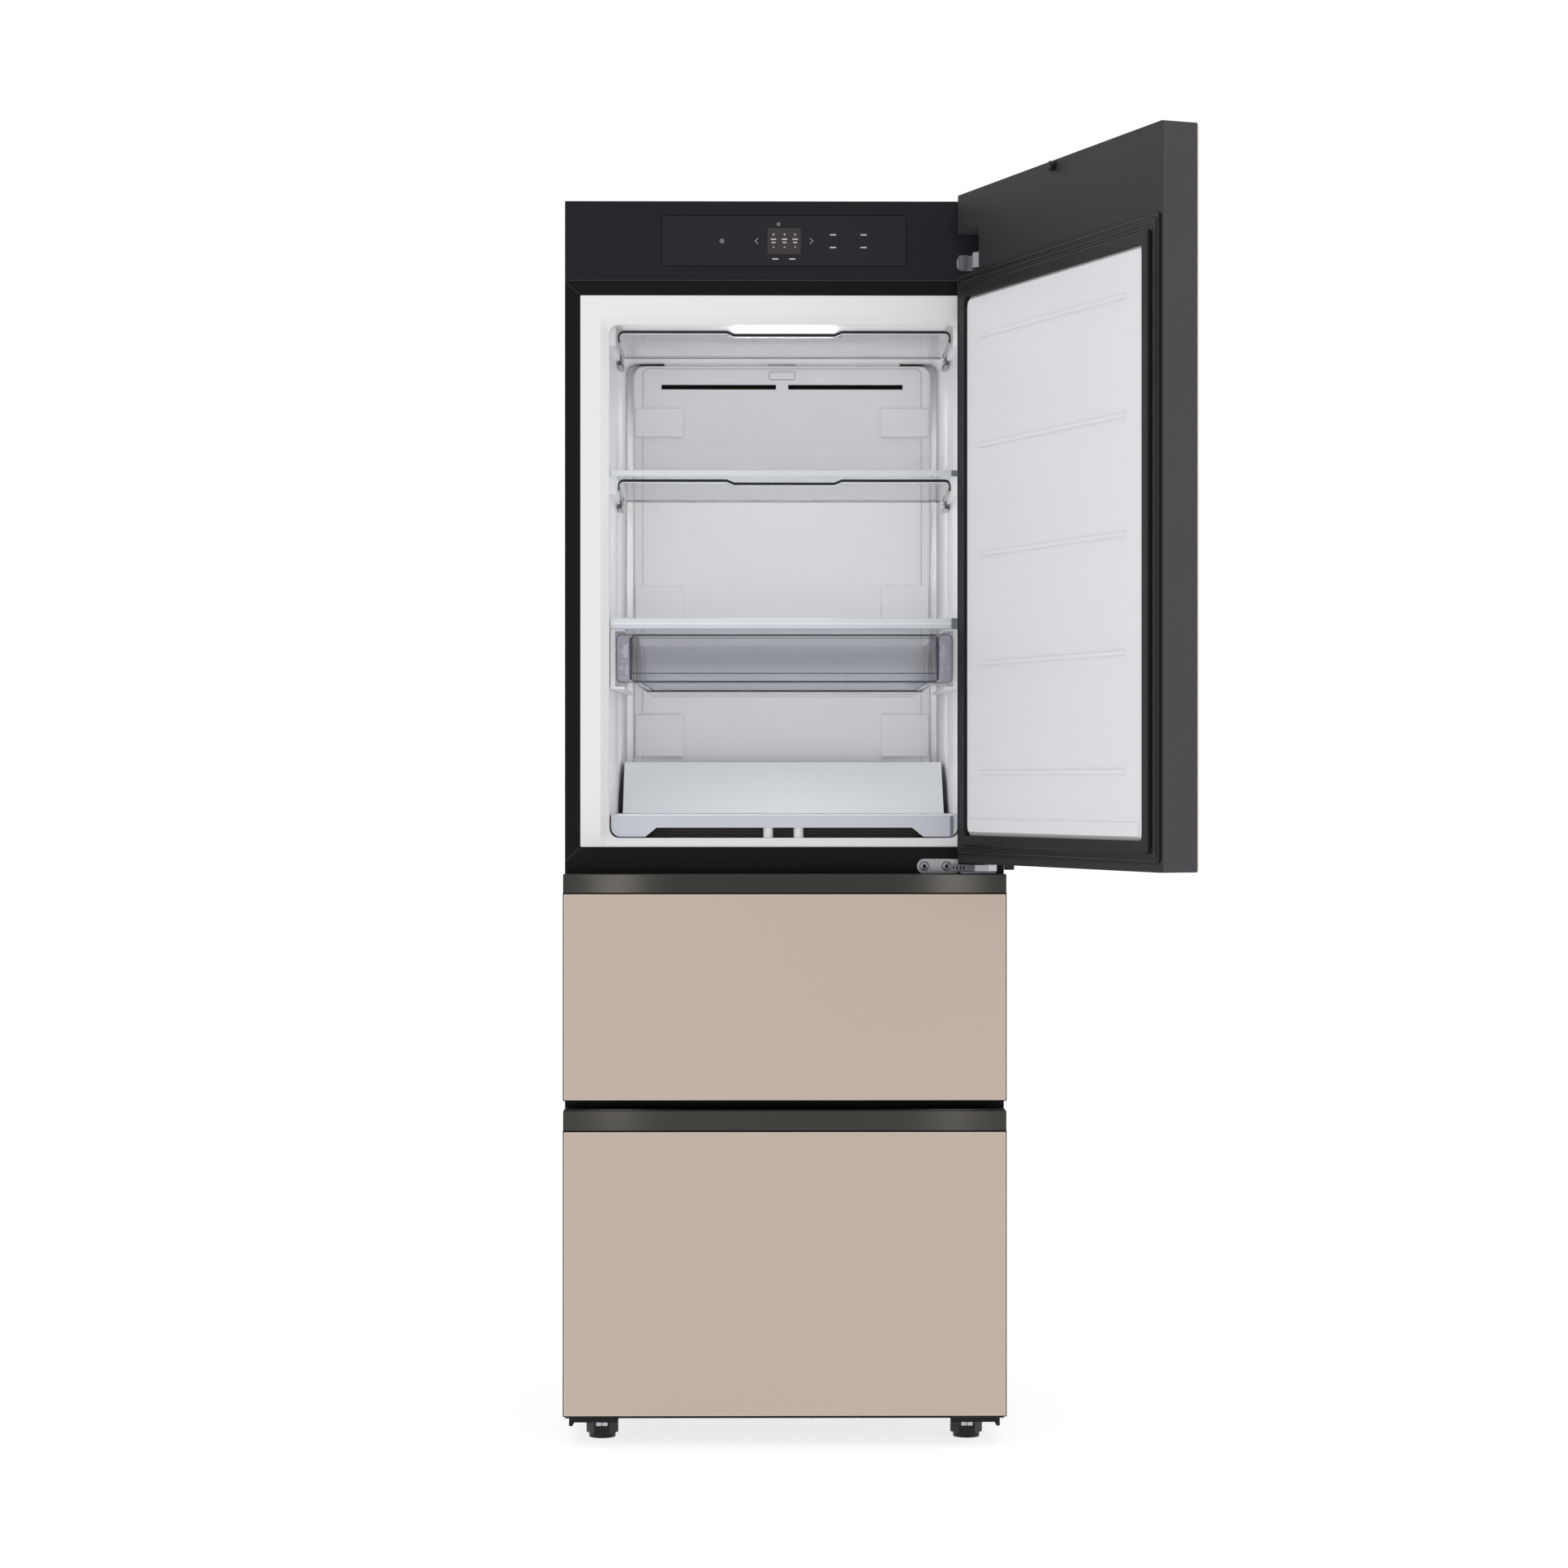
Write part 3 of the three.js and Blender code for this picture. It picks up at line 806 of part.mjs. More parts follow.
// ---------------------------------------------------------------- drawers
function makeDrawer(level, face, opening, cavity, back) {
  const { height } = face;
  const drawer = groupAt(cabinet, 0, 0, face.bottom);
  const skinTop = height - face.handle - FIT;
  addPiece(drawer, `drawer_${level}_front`, 'beige metal', plate(-HALF + DRAWER_BODY_EDGE,
    HALF - DRAWER_BODY_EDGE, DRAWER_BODY_EDGE, skinTop, 0, DOOR.skin, 2, 0.6));
  const bodyFront = DOOR.skin + FIT;
  const cutY = HANDLE.depth + FIT;
  addPiece(drawer, `drawer_${level}_body`, 'black plastic',
    plate(-HALF, HALF, 0, height, bodyFront, DOOR.thick, 2)
      .subtract(box(-HALF - 5, HALF + 5, 0, cutY, skinTop + FIT / 2, height + 5)));
  // grip channel: open upwards behind its front lip
  const z0 = skinTop + FIT;
  addPiece(drawer, `drawer_${level}_handle`, 'handle brown', prism('x', [
    [HANDLE.front, z0 + 0.8], [HANDLE.front + 0.8, z0], [HANDLE.depth, z0], [HANDLE.depth, height],
    [HANDLE.depth - 3, height], [HANDLE.depth - 5, z0 + HANDLE.floor + 6],
    [HANDLE.depth - 11, z0 + HANDLE.floor],
    [HANDLE.front + HANDLE.lip + 4, z0 + HANDLE.floor], [HANDLE.front + HANDLE.lip, z0 + HANDLE.floor + 4],
    [HANDLE.front + HANDLE.lip - 1, height - 0.8], [HANDLE.front + HANDLE.lip - 2, height],
    [HANDLE.front + 0.8, height], [HANDLE.front, height - 0.8]], -HALF + 0.5, HALF - 0.5));

  const low = opening.bottom - face.bottom;
  const high = opening.top - face.bottom;
  addPiece(drawer, `drawer_${level}_gasket`, 'rubber', gasketRing(
    HALF - DRAWER_GASKET.side, low - DRAWER_GASKET.lap, high + DRAWER_GASKET.lap, HALF - GASKET.bulb,
    DRAWER_CAVITY.half + DRAWER_MOUTH.step, low + DRAWER_GASKET.inset, high - DRAWER_GASKET.inset));

  // container with leaning walls, round corners and a rim that hangs on the running rails
  const railZ = (cavity.top + cavity.bottom) / 2 - face.bottom + 40;
  const boxBottom = cavity.bottom - face.bottom + 8;
  const boxTop = cavity.top - face.bottom - 14;
  const tub = (grow, top) => loft('z', [
    { at: boxBottom + grow, outline: roundRect(-DRAWER_BOX.half + DRAWER_BOX.draft + grow,
      DRAWER_BOX.half - DRAWER_BOX.draft - grow, DRAWER_BOX.front + DRAWER_BOX.draft + grow,
      back - DRAWER_BOX.draft - grow, DRAWER_BOX.radius - grow) },
    { at: top, outline: roundRect(-DRAWER_BOX.half + grow, DRAWER_BOX.half - grow,
      DRAWER_BOX.front + grow, back - grow, DRAWER_BOX.radius - grow) },
  ]);
  const hangZ = railZ + RUNNING_RAIL.height / 2 + FIT;
  addPiece(drawer, `drawer_${level}_box`, 'white moulding', join([
    tub(0, boxTop),
    prism('z', roundRect(-RUNNING_RAIL.inner - DRAWER_BOX.rim, RUNNING_RAIL.inner + DRAWER_BOX.rim,
      DRAWER_BOX.front + 20,
      back - 20, 6), hangZ, hangZ + 3),
  ]).subtract(tub(DRAWER_BOX.wall, boxTop + 1)));

  const railLength = Math.min(RAIL_LENGTH, back - DRAWER_BOX.front - 20);
  const railTop = railZ + RUNNING_RAIL.height / 2;
  const railBottom = railZ - RUNNING_RAIL.height / 2;
  const t = RUNNING_RAIL.sheet;
  const mouthEnd = CABINET_FRONT + drawerMouth(opening).depth;
  const wall = cavity.half - FIT
    - DRAWER_CAVITY.taper * (CHANNEL.front + railLength - mouthEnd) / (cavity.back - mouthEnd);
  for (const [name, side] of [['left', -1], ['right', 1]]) {
    addPiece(drawer, `drawer_${level}_rail_${name}`, 'bright steel', prism('y', [
      [RUNNING_RAIL.inner, railTop], [RUNNING_RAIL.outer, railTop], [RUNNING_RAIL.outer, railTop - t],
      [RUNNING_RAIL.inner + t, railTop - t], [RUNNING_RAIL.inner + t, railBottom + t],
      [RUNNING_RAIL.outer, railBottom + t], [RUNNING_RAIL.outer, railBottom],
      [RUNNING_RAIL.inner, railBottom]].map(([x, z]) => [side * x, z]),
    DOOR.thick + FIT, DOOR.thick + FIT + railLength + 10));
    const zc = railZ + face.bottom;
    const h = CHANNEL.height / 2;
    const inner = RUNNING_RAIL.outer - CHANNEL.lap;
    const fold = CHANNEL.lip;
    addPiece(cabinet, `drawer_${level}_channel_${name}`, 'grey steel', prism('y', [
      [inner, zc + h - fold], [inner, zc + h], [wall, zc + h], [wall, zc - h], [inner, zc - h],
      [inner, zc - h + fold], [wall - CHANNEL.sheet, zc - h + fold], [wall - CHANNEL.sheet, zc + h - fold],
    ].map(([x, z]) => [side * x, z]), CHANNEL.front, CHANNEL.front + railLength));
  }
}
makeDrawer('upper', DRAWER_UPPER, MIDDLE_OPENING, drawerCavity(MIDDLE_OPENING),
  DRAWER_BOX_BACK.upper);
makeDrawer('lower', DRAWER_LOWER, LOWER_OPENING, lowerCavity, DRAWER_BOX_BACK.lower);

// ---------------------------------------------------------------- base, feet, rollers
let basePan = box(-HALF + SHEET + FIT, HALF - SHEET - FIT, FRAME_BACK + 4, BACK - SHEET,
  CABINET_BOTTOM, CABINET_BOTTOM + SHEET);
// sloping foot brackets with a hook at their outer ends
const { inner: legIn, outer: legOut, drop: legDrop, hook, hookWidth } = LEG_BRACKET;
const legBracket = [[-legIn, CABINET_BOTTOM + 0.5], [-legIn + 3, CABINET_BOTTOM - legDrop],
  [legOut - hookWidth - 3, CABINET_BOTTOM - legDrop], [legOut - hookWidth, CABINET_BOTTOM - hook],
  [legOut, CABINET_BOTTOM - hook], [legOut, CABINET_BOTTOM + 0.5]];
for (const side of [-1, 1]) {
  const legX = side * FOOT.x;
  basePan = join([basePan,
    prism('y', legBracket.map(([x, z]) => [legX + side * x, z]), FOOT.y - LEG_BRACKET.front,
      FOOT.y - LEG_BRACKET.front + LEG_BRACKET.depth)])
    .subtract(disc('z', legX, FOOT.y, FOOT.stemR + FIT, 0, CABINET_BOTTOM + 9, 20));
  for (const offset of [-1, 1]) {
    const x = side * ROLLER.x + offset * (ROLLER.width / 2 + 3);
    basePan = basePan.add(prism('x', [[ROLLER.y - 16, CABINET_BOTTOM + 0.5], [ROLLER.y - 7, ROLLER.r - 7],
      [ROLLER.y + 7, ROLLER.r - 7], [ROLLER.y + 16, CABINET_BOTTOM + 0.5]], x - 1.5, x + 1.5));
  }
  basePan = basePan.subtract(box(
    side * ROLLER.x - ROLLER.width / 2 - 1, side * ROLLER.x + ROLLER.width / 2 + 1,
    ROLLER.y - ROLLER.r - 1, ROLLER.y + ROLLER.r + 1, 0, CABINET_BOTTOM + 9))
    .add(disc('x', ROLLER.y, ROLLER.r, ROLLER.axleR, side * ROLLER.x - ROLLER.width / 2 - 4,
      side * ROLLER.x + ROLLER.width / 2 + 4, 20));
}
addPiece(cabinet, 'base_pan', 'grey steel', basePan);

for (const [name, side] of [['left', -1], ['right', 1]]) {
  const foot = groupAt(cabinet, side * FOOT.x, FOOT.y, 0);
  const knurl = disc('z', 0, 0, FOOT.hexR, FOOT.baseHeight - 0.5, FOOT.hexTop, 6);
  addPiece(foot, `foot_${name}`, 'black plastic', join([
    disc('z', 0, 0, FOOT.baseR, 0, FOOT.baseHeight), knurl,
    disc('z', 0, 0, FOOT.stemR, FOOT.hexTop - 1, FOOT.stemTop, 20)]));
  const roller = groupAt(cabinet, side * ROLLER.x, ROLLER.y, ROLLER.r);
  addPiece(roller, `roller_${name}`, 'black plastic',
    disc('x', 0, 0, ROLLER.r, -ROLLER.width / 2, ROLLER.width / 2, 32)
      .subtract(disc('x', 0, 0, ROLLER.axleR + FIT, -ROLLER.width, ROLLER.width, 20)));
}

// ---------------------------------------------------------------- machine compartment
// welded compressor can on three rubber feet
const canProfile = [[0, 0], [0.55, 0], [0.86, 0.1], [1, 0.3], [1, 0.48], [1.05, 0.48], [1.05, 0.52],
  [1, 0.52], [1, 0.72], [0.86, 0.9], [0.5, 0.99], [0, 1]];
const can = new THREE.LatheGeometry(canProfile.map(([r, h]) => new THREE.Vector2(
  r * COMPRESSOR.r, h * COMPRESSOR.height)), 28);
can.rotateX(Math.PI / 2);
can.translate(COMPRESSOR.x, COMPRESSOR.y, COMPRESSOR.bottom);
const mounts = [0, 1, 2, 3].map((i) => {
  const a = Math.PI / 4 + i * Math.PI / 2;
  return disc('z', COMPRESSOR.x + 60 * Math.cos(a), COMPRESSOR.y + 60 * Math.sin(a), 14,
    CABINET_BOTTOM + SHEET + FIT, COMPRESSOR.bottom + 26, 16);
});
addPiece(cabinet, 'compressor', 'black plastic', join([solid(can), ...mounts]));

// finned condenser block with the fan's carrier standing off it
const fins = [];
const pitch = CONDENSER.width / (CONDENSER.fins - 1);
for (let i = 0; i < CONDENSER.fins; i++) {
  const x = CONDENSER.x - CONDENSER.width / 2 + i * pitch;
  fins.push(box(x - 1, x + 1, CONDENSER.front, CONDENSER.front + CONDENSER.depth,
    CONDENSER.bottom, CONDENSER.bottom + CONDENSER.height));
}
const tubes = [];
for (let row = 0; row < 3; row++) {
  for (let col = 0; col < 2; col++) {
    tubes.push(disc('x', CONDENSER.front + CONDENSER.depth * (0.28 + 0.44 * col),
      CONDENSER.bottom + CONDENSER.height * (0.2 + 0.3 * row), 5,
      CONDENSER.x - CONDENSER.width / 2 - 8, CONDENSER.x + CONDENSER.width / 2 + 8, 8));
  }
}
const condenserFeet = [-1, 1].map((side) => box(CONDENSER.x + side * (CONDENSER.width / 2 - 10) - 6,
  CONDENSER.x + side * (CONDENSER.width / 2 - 10) + 6, CONDENSER.front + 10,
  CONDENSER.front + CONDENSER.depth - 10, CABINET_BOTTOM + SHEET + FIT, CONDENSER.bottom + 4));
const fanStay = join([
  box(FAN.x + 16, FAN.x + 20, FAN.y - 14, FAN.y + 14, CABINET_BOTTOM + SHEET + FIT, FAN.z + 14),
  box(FAN.x + 16, CONDENSER.x - CONDENSER.width / 2 + 1, FAN.y - 14, FAN.y + 14,
    CABINET_BOTTOM + SHEET + FIT, CABINET_BOTTOM + SHEET + FIT + 3),
  box(CONDENSER.x - CONDENSER.width / 2 - 1, CONDENSER.x - CONDENSER.width / 2 + 1, FAN.y - 14, FAN.y + 14,
    CABINET_BOTTOM + SHEET + FIT, CONDENSER.bottom + 4),
  disc('x', FAN.y, FAN.z, 4, FAN.x - 6, FAN.x + 18, 16),
]);
addPiece(cabinet, 'condenser', 'grey steel', join([...fins, ...tubes, ...condenserFeet, fanStay]));

const blades = [];
for (let i = 0; i < FAN.blades; i++) {
  const turn = (2 * Math.PI * i) / FAN.blades;
  const tip = (r, spread, lean) => [
    [r, -spread, -lean], [r, spread, lean], [r, spread, lean + 1.6], [r, -spread, -lean + 1.6]];
  const points = [...tip(FAN.hub - 3, 9, 7), ...tip(FAN.r, 26, 5)]
    .map(([r, s, d]) => (
      [d, r * Math.cos(turn) - s * Math.sin(turn), r * Math.sin(turn) + s * Math.cos(turn)]));
  const g = new THREE.BufferGeometry();
  g.setAttribute('position', new THREE.Float32BufferAttribute(points.flat(), 3));
  g.setIndex([0, 1, 2, 0, 2, 3, 4, 6, 5, 4, 7, 6, 0, 5, 1, 0, 4, 5, 1, 6, 2, 1, 5, 6, 2, 7, 3, 2, 6, 7,
    3, 4, 0, 3, 7, 4]);
  let blade = solid(g);
  if (blade.volume() < 0) {
    g.setIndex(Array.from(g.index.array).reverse());
    blade = solid(g);
  }
  blades.push(blade);
}
const fan = groupAt(cabinet, FAN.x, FAN.y, FAN.z);
addPiece(fan, 'condenser_fan', 'black plastic', join([
  disc('x', 0, 0, FAN.hub, -FAN.depth / 2 + 1, FAN.depth / 2, 24), ...blades])
  .subtract(disc('x', 0, 0, 4 + FIT, -8, FAN.depth, 16)));

fridge.updateMatrixWorld(true);
const centre = new THREE.Box3().setFromObject(fridge, true).getCenter(new THREE.Vector3());
cabinet.position.set(-centre.x, -centre.y, 0);

export default fridge;
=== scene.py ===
import math

import bmesh
import bpy
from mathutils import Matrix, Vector


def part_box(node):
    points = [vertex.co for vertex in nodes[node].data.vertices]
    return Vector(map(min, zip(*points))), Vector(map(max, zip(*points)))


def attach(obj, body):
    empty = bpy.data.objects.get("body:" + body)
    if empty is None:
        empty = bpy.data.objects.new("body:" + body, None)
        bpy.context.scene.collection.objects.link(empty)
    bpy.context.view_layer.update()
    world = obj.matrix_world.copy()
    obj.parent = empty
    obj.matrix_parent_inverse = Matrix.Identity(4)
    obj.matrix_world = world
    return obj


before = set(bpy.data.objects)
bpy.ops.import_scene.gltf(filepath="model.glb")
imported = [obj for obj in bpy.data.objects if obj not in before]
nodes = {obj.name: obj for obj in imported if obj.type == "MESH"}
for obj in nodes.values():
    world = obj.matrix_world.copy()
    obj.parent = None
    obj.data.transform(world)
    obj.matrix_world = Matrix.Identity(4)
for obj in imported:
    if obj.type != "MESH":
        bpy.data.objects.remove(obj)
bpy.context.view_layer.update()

# ------------------------------------------------------------------ where things are
# Sizes are millimetres. X = 0 is the cabinet's middle, Y = 0 the drawers' faces, with larger Y
# further back, and Z = 0 the floor.
MM = 1000
MIDDLE_X = (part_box("drawer_upper_front")[0].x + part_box("drawer_upper_front")[1].x) / 2 * MM
FACE_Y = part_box("drawer_upper_front")[0].y * MM

# faces that small pieces sit on, from front to back
GASKET_Y = 57.4  # lips of the seals, in the depth of the drawers or of the shut door
HINGE_Y = 61.85  # plate of the lower hinge, where its screws bear
FRAME_Y = 64.0  # black frame round the openings
PANEL_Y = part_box("control_panel")[0].y * MM - FACE_Y
SHELF_Y = 84.0  # front edges of the shelves
TRAY_Y = 88.0  # tray, and the deck below it
DUCT_Y = 575.0  # raised border of the duct cover
BACK_Y = 691.4  # sheets of the case's back

DOOR_PIN = (303.0, 17.2)
DOOR_OPEN = math.radians(111)
FLAP_TILT = math.radians(4.6)
FLAP_PIN_Y = 283.0
FLAP_PIN_Z = {"upper": 1653.0, "lower": 1428.5}

HINGE_SCREWS_X = (210.25, 243.75)
HINGE_SCREWS_Z = 861.75
DRAWER_FRONTS = {"upper": (515.3, 822.7), "lower": (46.1, 469.4)}  # bottom and top
DRAWER_SEALS = {"upper": (522.3, 845.3), "lower": (53.1, 493.8)}
DRAWER_SEAL_WIDE = 636
DOOR_SEAL_WIDE, DOOR_SEAL_HIGH, DOOR_SEAL_MIDDLE = 650, 863, 1312


def place(x, y, z):
    """A point of the cabinet, in metres in the shared frame."""
    return Vector((x + MIDDLE_X, y + FACE_Y, z)) / MM


def on_door(x, y, z):
    """A point of the door, given as if the door were shut."""
    c, s = math.cos(DOOR_OPEN), math.sin(DOOR_OPEN)
    dx, dy = x - DOOR_PIN[0], y - DOOR_PIN[1]
    return place(DOOR_PIN[0] + c * dx - s * dy, DOOR_PIN[1] + s * dx + c * dy, z)


def on_flap(level):
    """Places points of a flap guard, given as if it lay level and counted from its pins."""
    c, s = math.cos(FLAP_TILT), math.sin(FLAP_TILT)

    def put(x, y, z):
        return place(x, FLAP_PIN_Y + c * y + s * z, FLAP_PIN_Z[level] - s * y + c * z)
    return put


# ------------------------------------------------------------------ finishes
NOISE_RANGE = (0.3, 0.7)  # where nearly all values of a noise lie
GLOSS_RANGE = (0.9, 1.12)  # how far the grain takes the roughness down and up
BUMP_STRENGTH = 0.6
CLOUD_DETAIL, GRAIN_DETAIL = 3.0, 2.0


def linear(rgb):
    """An sRGB colour from 0 to 255 as the shader's linear colour."""
    def one(v):
        v /= 255
        return v / 12.92 if v <= 0.04045 else ((v + 0.055) / 1.055) ** 2.4
    return tuple(one(v) for v in rgb) + (1.0,)


def blank(name):
    """A new material with nothing but a principled shader."""
    mat = bpy.data.materials.new(name)
    mat.use_nodes = True
    tree = mat.node_tree
    tree.nodes.clear()
    out = tree.nodes.new("ShaderNodeOutputMaterial")
    shader = tree.nodes.new("ShaderNodeBsdfPrincipled")
    tree.links.new(shader.outputs[0], out.inputs[0])
    return mat, tree, shader


def noise(tree, coords, scale, detail, stretch=None):
    """A noise over the coordinates, drawn out where stretch is given."""
    node = tree.nodes.new("ShaderNodeTexNoise")
    node.inputs["Scale"].default_value = scale
    node.inputs["Detail"].default_value = detail
    if stretch:
        mapping = tree.nodes.new("ShaderNodeMapping")
        mapping.inputs["Scale"].default_value = stretch
        tree.links.new(coords, mapping.inputs[0])
        coords = mapping.outputs[0]
    tree.links.new(coords, node.inputs["Vector"])
    return node.outputs["Fac"]


def between(tree, source, low, high):
    """A noise's values brought between low and high."""
    node = tree.nodes.new("ShaderNodeMapRange")
    node.inputs["From Min"].default_value, node.inputs["From Max"].default_value = NOISE_RANGE
    node.inputs["To Min"].default_value = low
    node.inputs["To Max"].default_value = high
    tree.links.new(source, node.inputs["Value"])
    return node.outputs[0]


def finish(name, rgb, rough, metal=0.0, mottle=0.02, cloud=6.0, grain=0.00002,
           grain_scale=900.0, stretch=None, **sockets):
    """A moulded, painted or rolled surface: soft clouds in its colour, a fine grain in its gloss
    and relief. stretch draws the grain out, as brushing does."""
    mat, tree, shader = blank(name)
    coords = tree.nodes.new("ShaderNodeTexCoord").outputs["Object"]
    clouds = noise(tree, coords, cloud, CLOUD_DETAIL)
    tint = tree.nodes.new("ShaderNodeMix")
    tint.data_type = "RGBA"
    colour = linear(rgb)
    tint.inputs["A"].default_value = [c * (1 - mottle) for c in colour[:3]] + [1]
    tint.inputs["B"].default_value = [min(1, c * (1 + mottle)) for c in colour[:3]] + [1]
    tree.links.new(clouds, tint.inputs["Factor"])
    tree.links.new(tint.outputs["Result"], shader.inputs["Base Color"])
    fine = noise(tree, coords, grain_scale, GRAIN_DETAIL, stretch)
    gloss = between(tree, fine, rough * GLOSS_RANGE[0], min(1, rough * GLOSS_RANGE[1]))
    tree.links.new(gloss, shader.inputs["Roughness"])
    bump = tree.nodes.new("ShaderNodeBump")
    bump.inputs["Strength"].default_value = BUMP_STRENGTH
    bump.inputs["Distance"].default_value = grain
    tree.links.new(fine, bump.inputs["Height"])
    tree.links.new(bump.outputs[0], shader.inputs["Normal"])
    shader.inputs["Metallic"].default_value = metal
    for socket, value in sockets.items():
        shader.inputs[socket.replace("_", " ")].default_value = value
    return mat


def see_through(name, rgb, rough, ior=1.49):
    """Glass or clear moulding, with faint waves in its thickness."""
    return finish(name, rgb, rough, mottle=0.04, cloud=5.0, grain=0.00001, grain_scale=60.0,
                  Transmission_Weight=1.0, IOR=ior)


MATERIAL = {
    # cabinet and frame
    "steel case": finish("case powder coat", (74, 74, 77), 0.42, grain=0.00003, grain_scale=700),
    "grey steel": finish("zinc coated sheet", (150, 153, 157), 0.4, 0.8, mottle=0.12, cloud=22),
    "bright steel": finish("hinge steel", (186, 188, 192), 0.3, 0.9, mottle=0.03, cloud=30,
                           grain=0.000008, grain_scale=160, stretch=(1, 1, 12)),
    "foam": finish("poured foam", (226, 214, 178), 0.9, mottle=0.1, cloud=30, grain=0.0006,
                   grain_scale=260),
    "pan paint": finish("black painted steel", (20, 20, 22), 0.45, mottle=0.1, grain_scale=400,
                        Specular_IOR_Level=0.3),
    "frame": finish("frame black", (8, 8, 10), 0.42, mottle=0.1, Specular_IOR_Level=0.2),
    "hinge grey": finish("hinge plate satin", (158, 160, 165), 0.32, 0.4, mottle=0.04, cloud=60),
    "hood painted shade": finish("hinge satin in painted shade", (98, 100, 105), 0.32, 0.4, mottle=0.04, cloud=60),
    "zinc": finish("zinc screw", (188, 190, 194), 0.3, 0.9, mottle=0.08, cloud=120),
    "black plastic": finish("black moulding", (24, 24, 26), 0.42, mottle=0.08, grain=0.00005,
                            grain_scale=1200, Specular_IOR_Level=0.3),
    # head with the display
    "fascia": finish("fascia blue black", (27, 28, 33), 0.3, mottle=0.04,
                     Specular_IOR_Level=0.28),
    "painted highlight grey": finish("fascia painted highlight", (56, 62, 66), 0.3, mottle=0.05),
    "window": finish("display window", (39, 40, 45), 0.12, mottle=0.03, grain=0.0,
                     Specular_IOR_Level=0.3),
    "screen": finish("screen glass", (60, 54, 57), 0.25, mottle=0.05),
    "marks": finish("printed marks", (190, 192, 196), 0.5, mottle=0.05),
    "dim marks": finish("unlit marks", (104, 108, 110), 0.5, mottle=0.05),
    # upper space
    "liner": finish("liner gloss white", (234, 233, 235), 0.34, mottle=0.008),
    "duct": finish("duct satin white", (231, 231, 233), 0.42, mottle=0.01, grain=0.00003,
                   grain_scale=1100),
    "lamp": finish("lamp diffuser", (250, 250, 252), 0.4, Emission_Color=(1, 1, 1, 1),
                   Emission_Strength=2.5),
    "glass": see_through("shelf glass", (240, 246, 246), 0.02, ior=1.5),
    "smoke": see_through("smoke tinted clear", (234, 235, 237), 0.05),
    "dark clear": see_through("runner dark clear", (118, 120, 126), 0.12),
    "rim": finish("guard rim tint", (34, 36, 42), 0.22, mottle=0.08, Coat_Weight=0.4),
    # a white for lines where an edge catches the light: painted highlight
    "lit edge": finish("lit edge white", (236, 238, 242), 0.3, mottle=0.02),
    # grey of the gap round the sensor's cover; also painted shade along the duct's crease and
    # under the shelf trim
    "seam and painted shade": finish("soft seam grey", (150, 151, 158), 0.5, mottle=0.1),
    # black of gaps, joints and recesses; also painted shade in the duct behind its slots
    "dark seam": finish("dark gap", (12, 12, 13), 0.7, mottle=0.2, Specular_IOR_Level=0.1),
    "trim": finish("shelf trim bright", (221, 225, 230), 0.3, 0.15, mottle=0.02,
                   stretch=(1, 1, 20)),
    # the trim's finish a little darker: painted shade on its lower band
    "trim shade": finish("shelf trim shade", (210, 214, 221), 0.35, 0.15, mottle=0.02),
    # grey of the trim's caps, screw rims and the hinge's base; also painted shade at the deck's
    # right-hand end and in the duct's notch
    "end cap and painted shade": finish("trim end cap and painted shade", (120, 124, 132), 0.35, mottle=0.05),
    "tray": see_through("tray tinted clear", (211, 212, 216), 0.06),
    "tray edge": finish("tray edge tint", (62, 64, 74), 0.2, mottle=0.1, Coat_Weight=0.3),
    "snap tint": finish("snap tint", (170, 172, 184), 0.25, mottle=0.05),
    "wing tint": finish("tray wing tint", (188, 186, 197), 0.2, mottle=0.06, cloud=40,
                        Coat_Weight=0.3),
    "cooling": finish("cooling plate satin", (232, 234, 237), 0.36, 0.1, mottle=0.02,
                      grain=0.00003, grain_scale=500, stretch=(1, 14, 14)),
    "deck": finish("deck brushed satin", (205, 209, 216), 0.34, 0.1, mottle=0.02, grain=0.00003,
                   grain_scale=500, stretch=(1, 14, 14)),
    # the dark in the gap under the deck: painted shade
    "painted shade brown": finish("painted shade under the deck", (64, 61, 62), 0.6, mottle=0.15,
                        Specular_IOR_Level=0.1),
    # door and drawers
    "beige": finish("beige satin enamel", (189, 171, 159), 0.42, mottle=0.012, cloud=2.5,
                    grain=0.000012, grain_scale=1500, Coat_Weight=0.15, Coat_Roughness=0.35),
    "painted highlight beige": finish("beige painted highlight", (214, 198, 187), 0.4, mottle=0.02),
    "handle": finish("handle brown anodised", (62, 60, 57), 0.12, 0.6, mottle=0.04,
                     grain=0.000002, grain_scale=700, stretch=(6, 6, 0.2), Anisotropic=0.95,
                     Anisotropic_Rotation=0.25, Specular_IOR_Level=0.2),
    "door shell": finish("door charcoal grained", (71, 69, 72), 0.5, mottle=0.03, grain=0.00008,
                         grain_scale=1400, Specular_IOR_Level=0.15),
    "door white": finish("door liner white", (222, 221, 225), 0.4, mottle=0.008),
    "rubber": finish("gasket rubber", (20, 20, 23), 0.45, mottle=0.12, grain=0.00004,
                     grain_scale=500, Specular_IOR_Level=0.3),
    "lip shine": finish("painted highlight on the lips", (46, 46, 52), 0.35, mottle=0.1, Specular_IOR_Level=0.3),
}


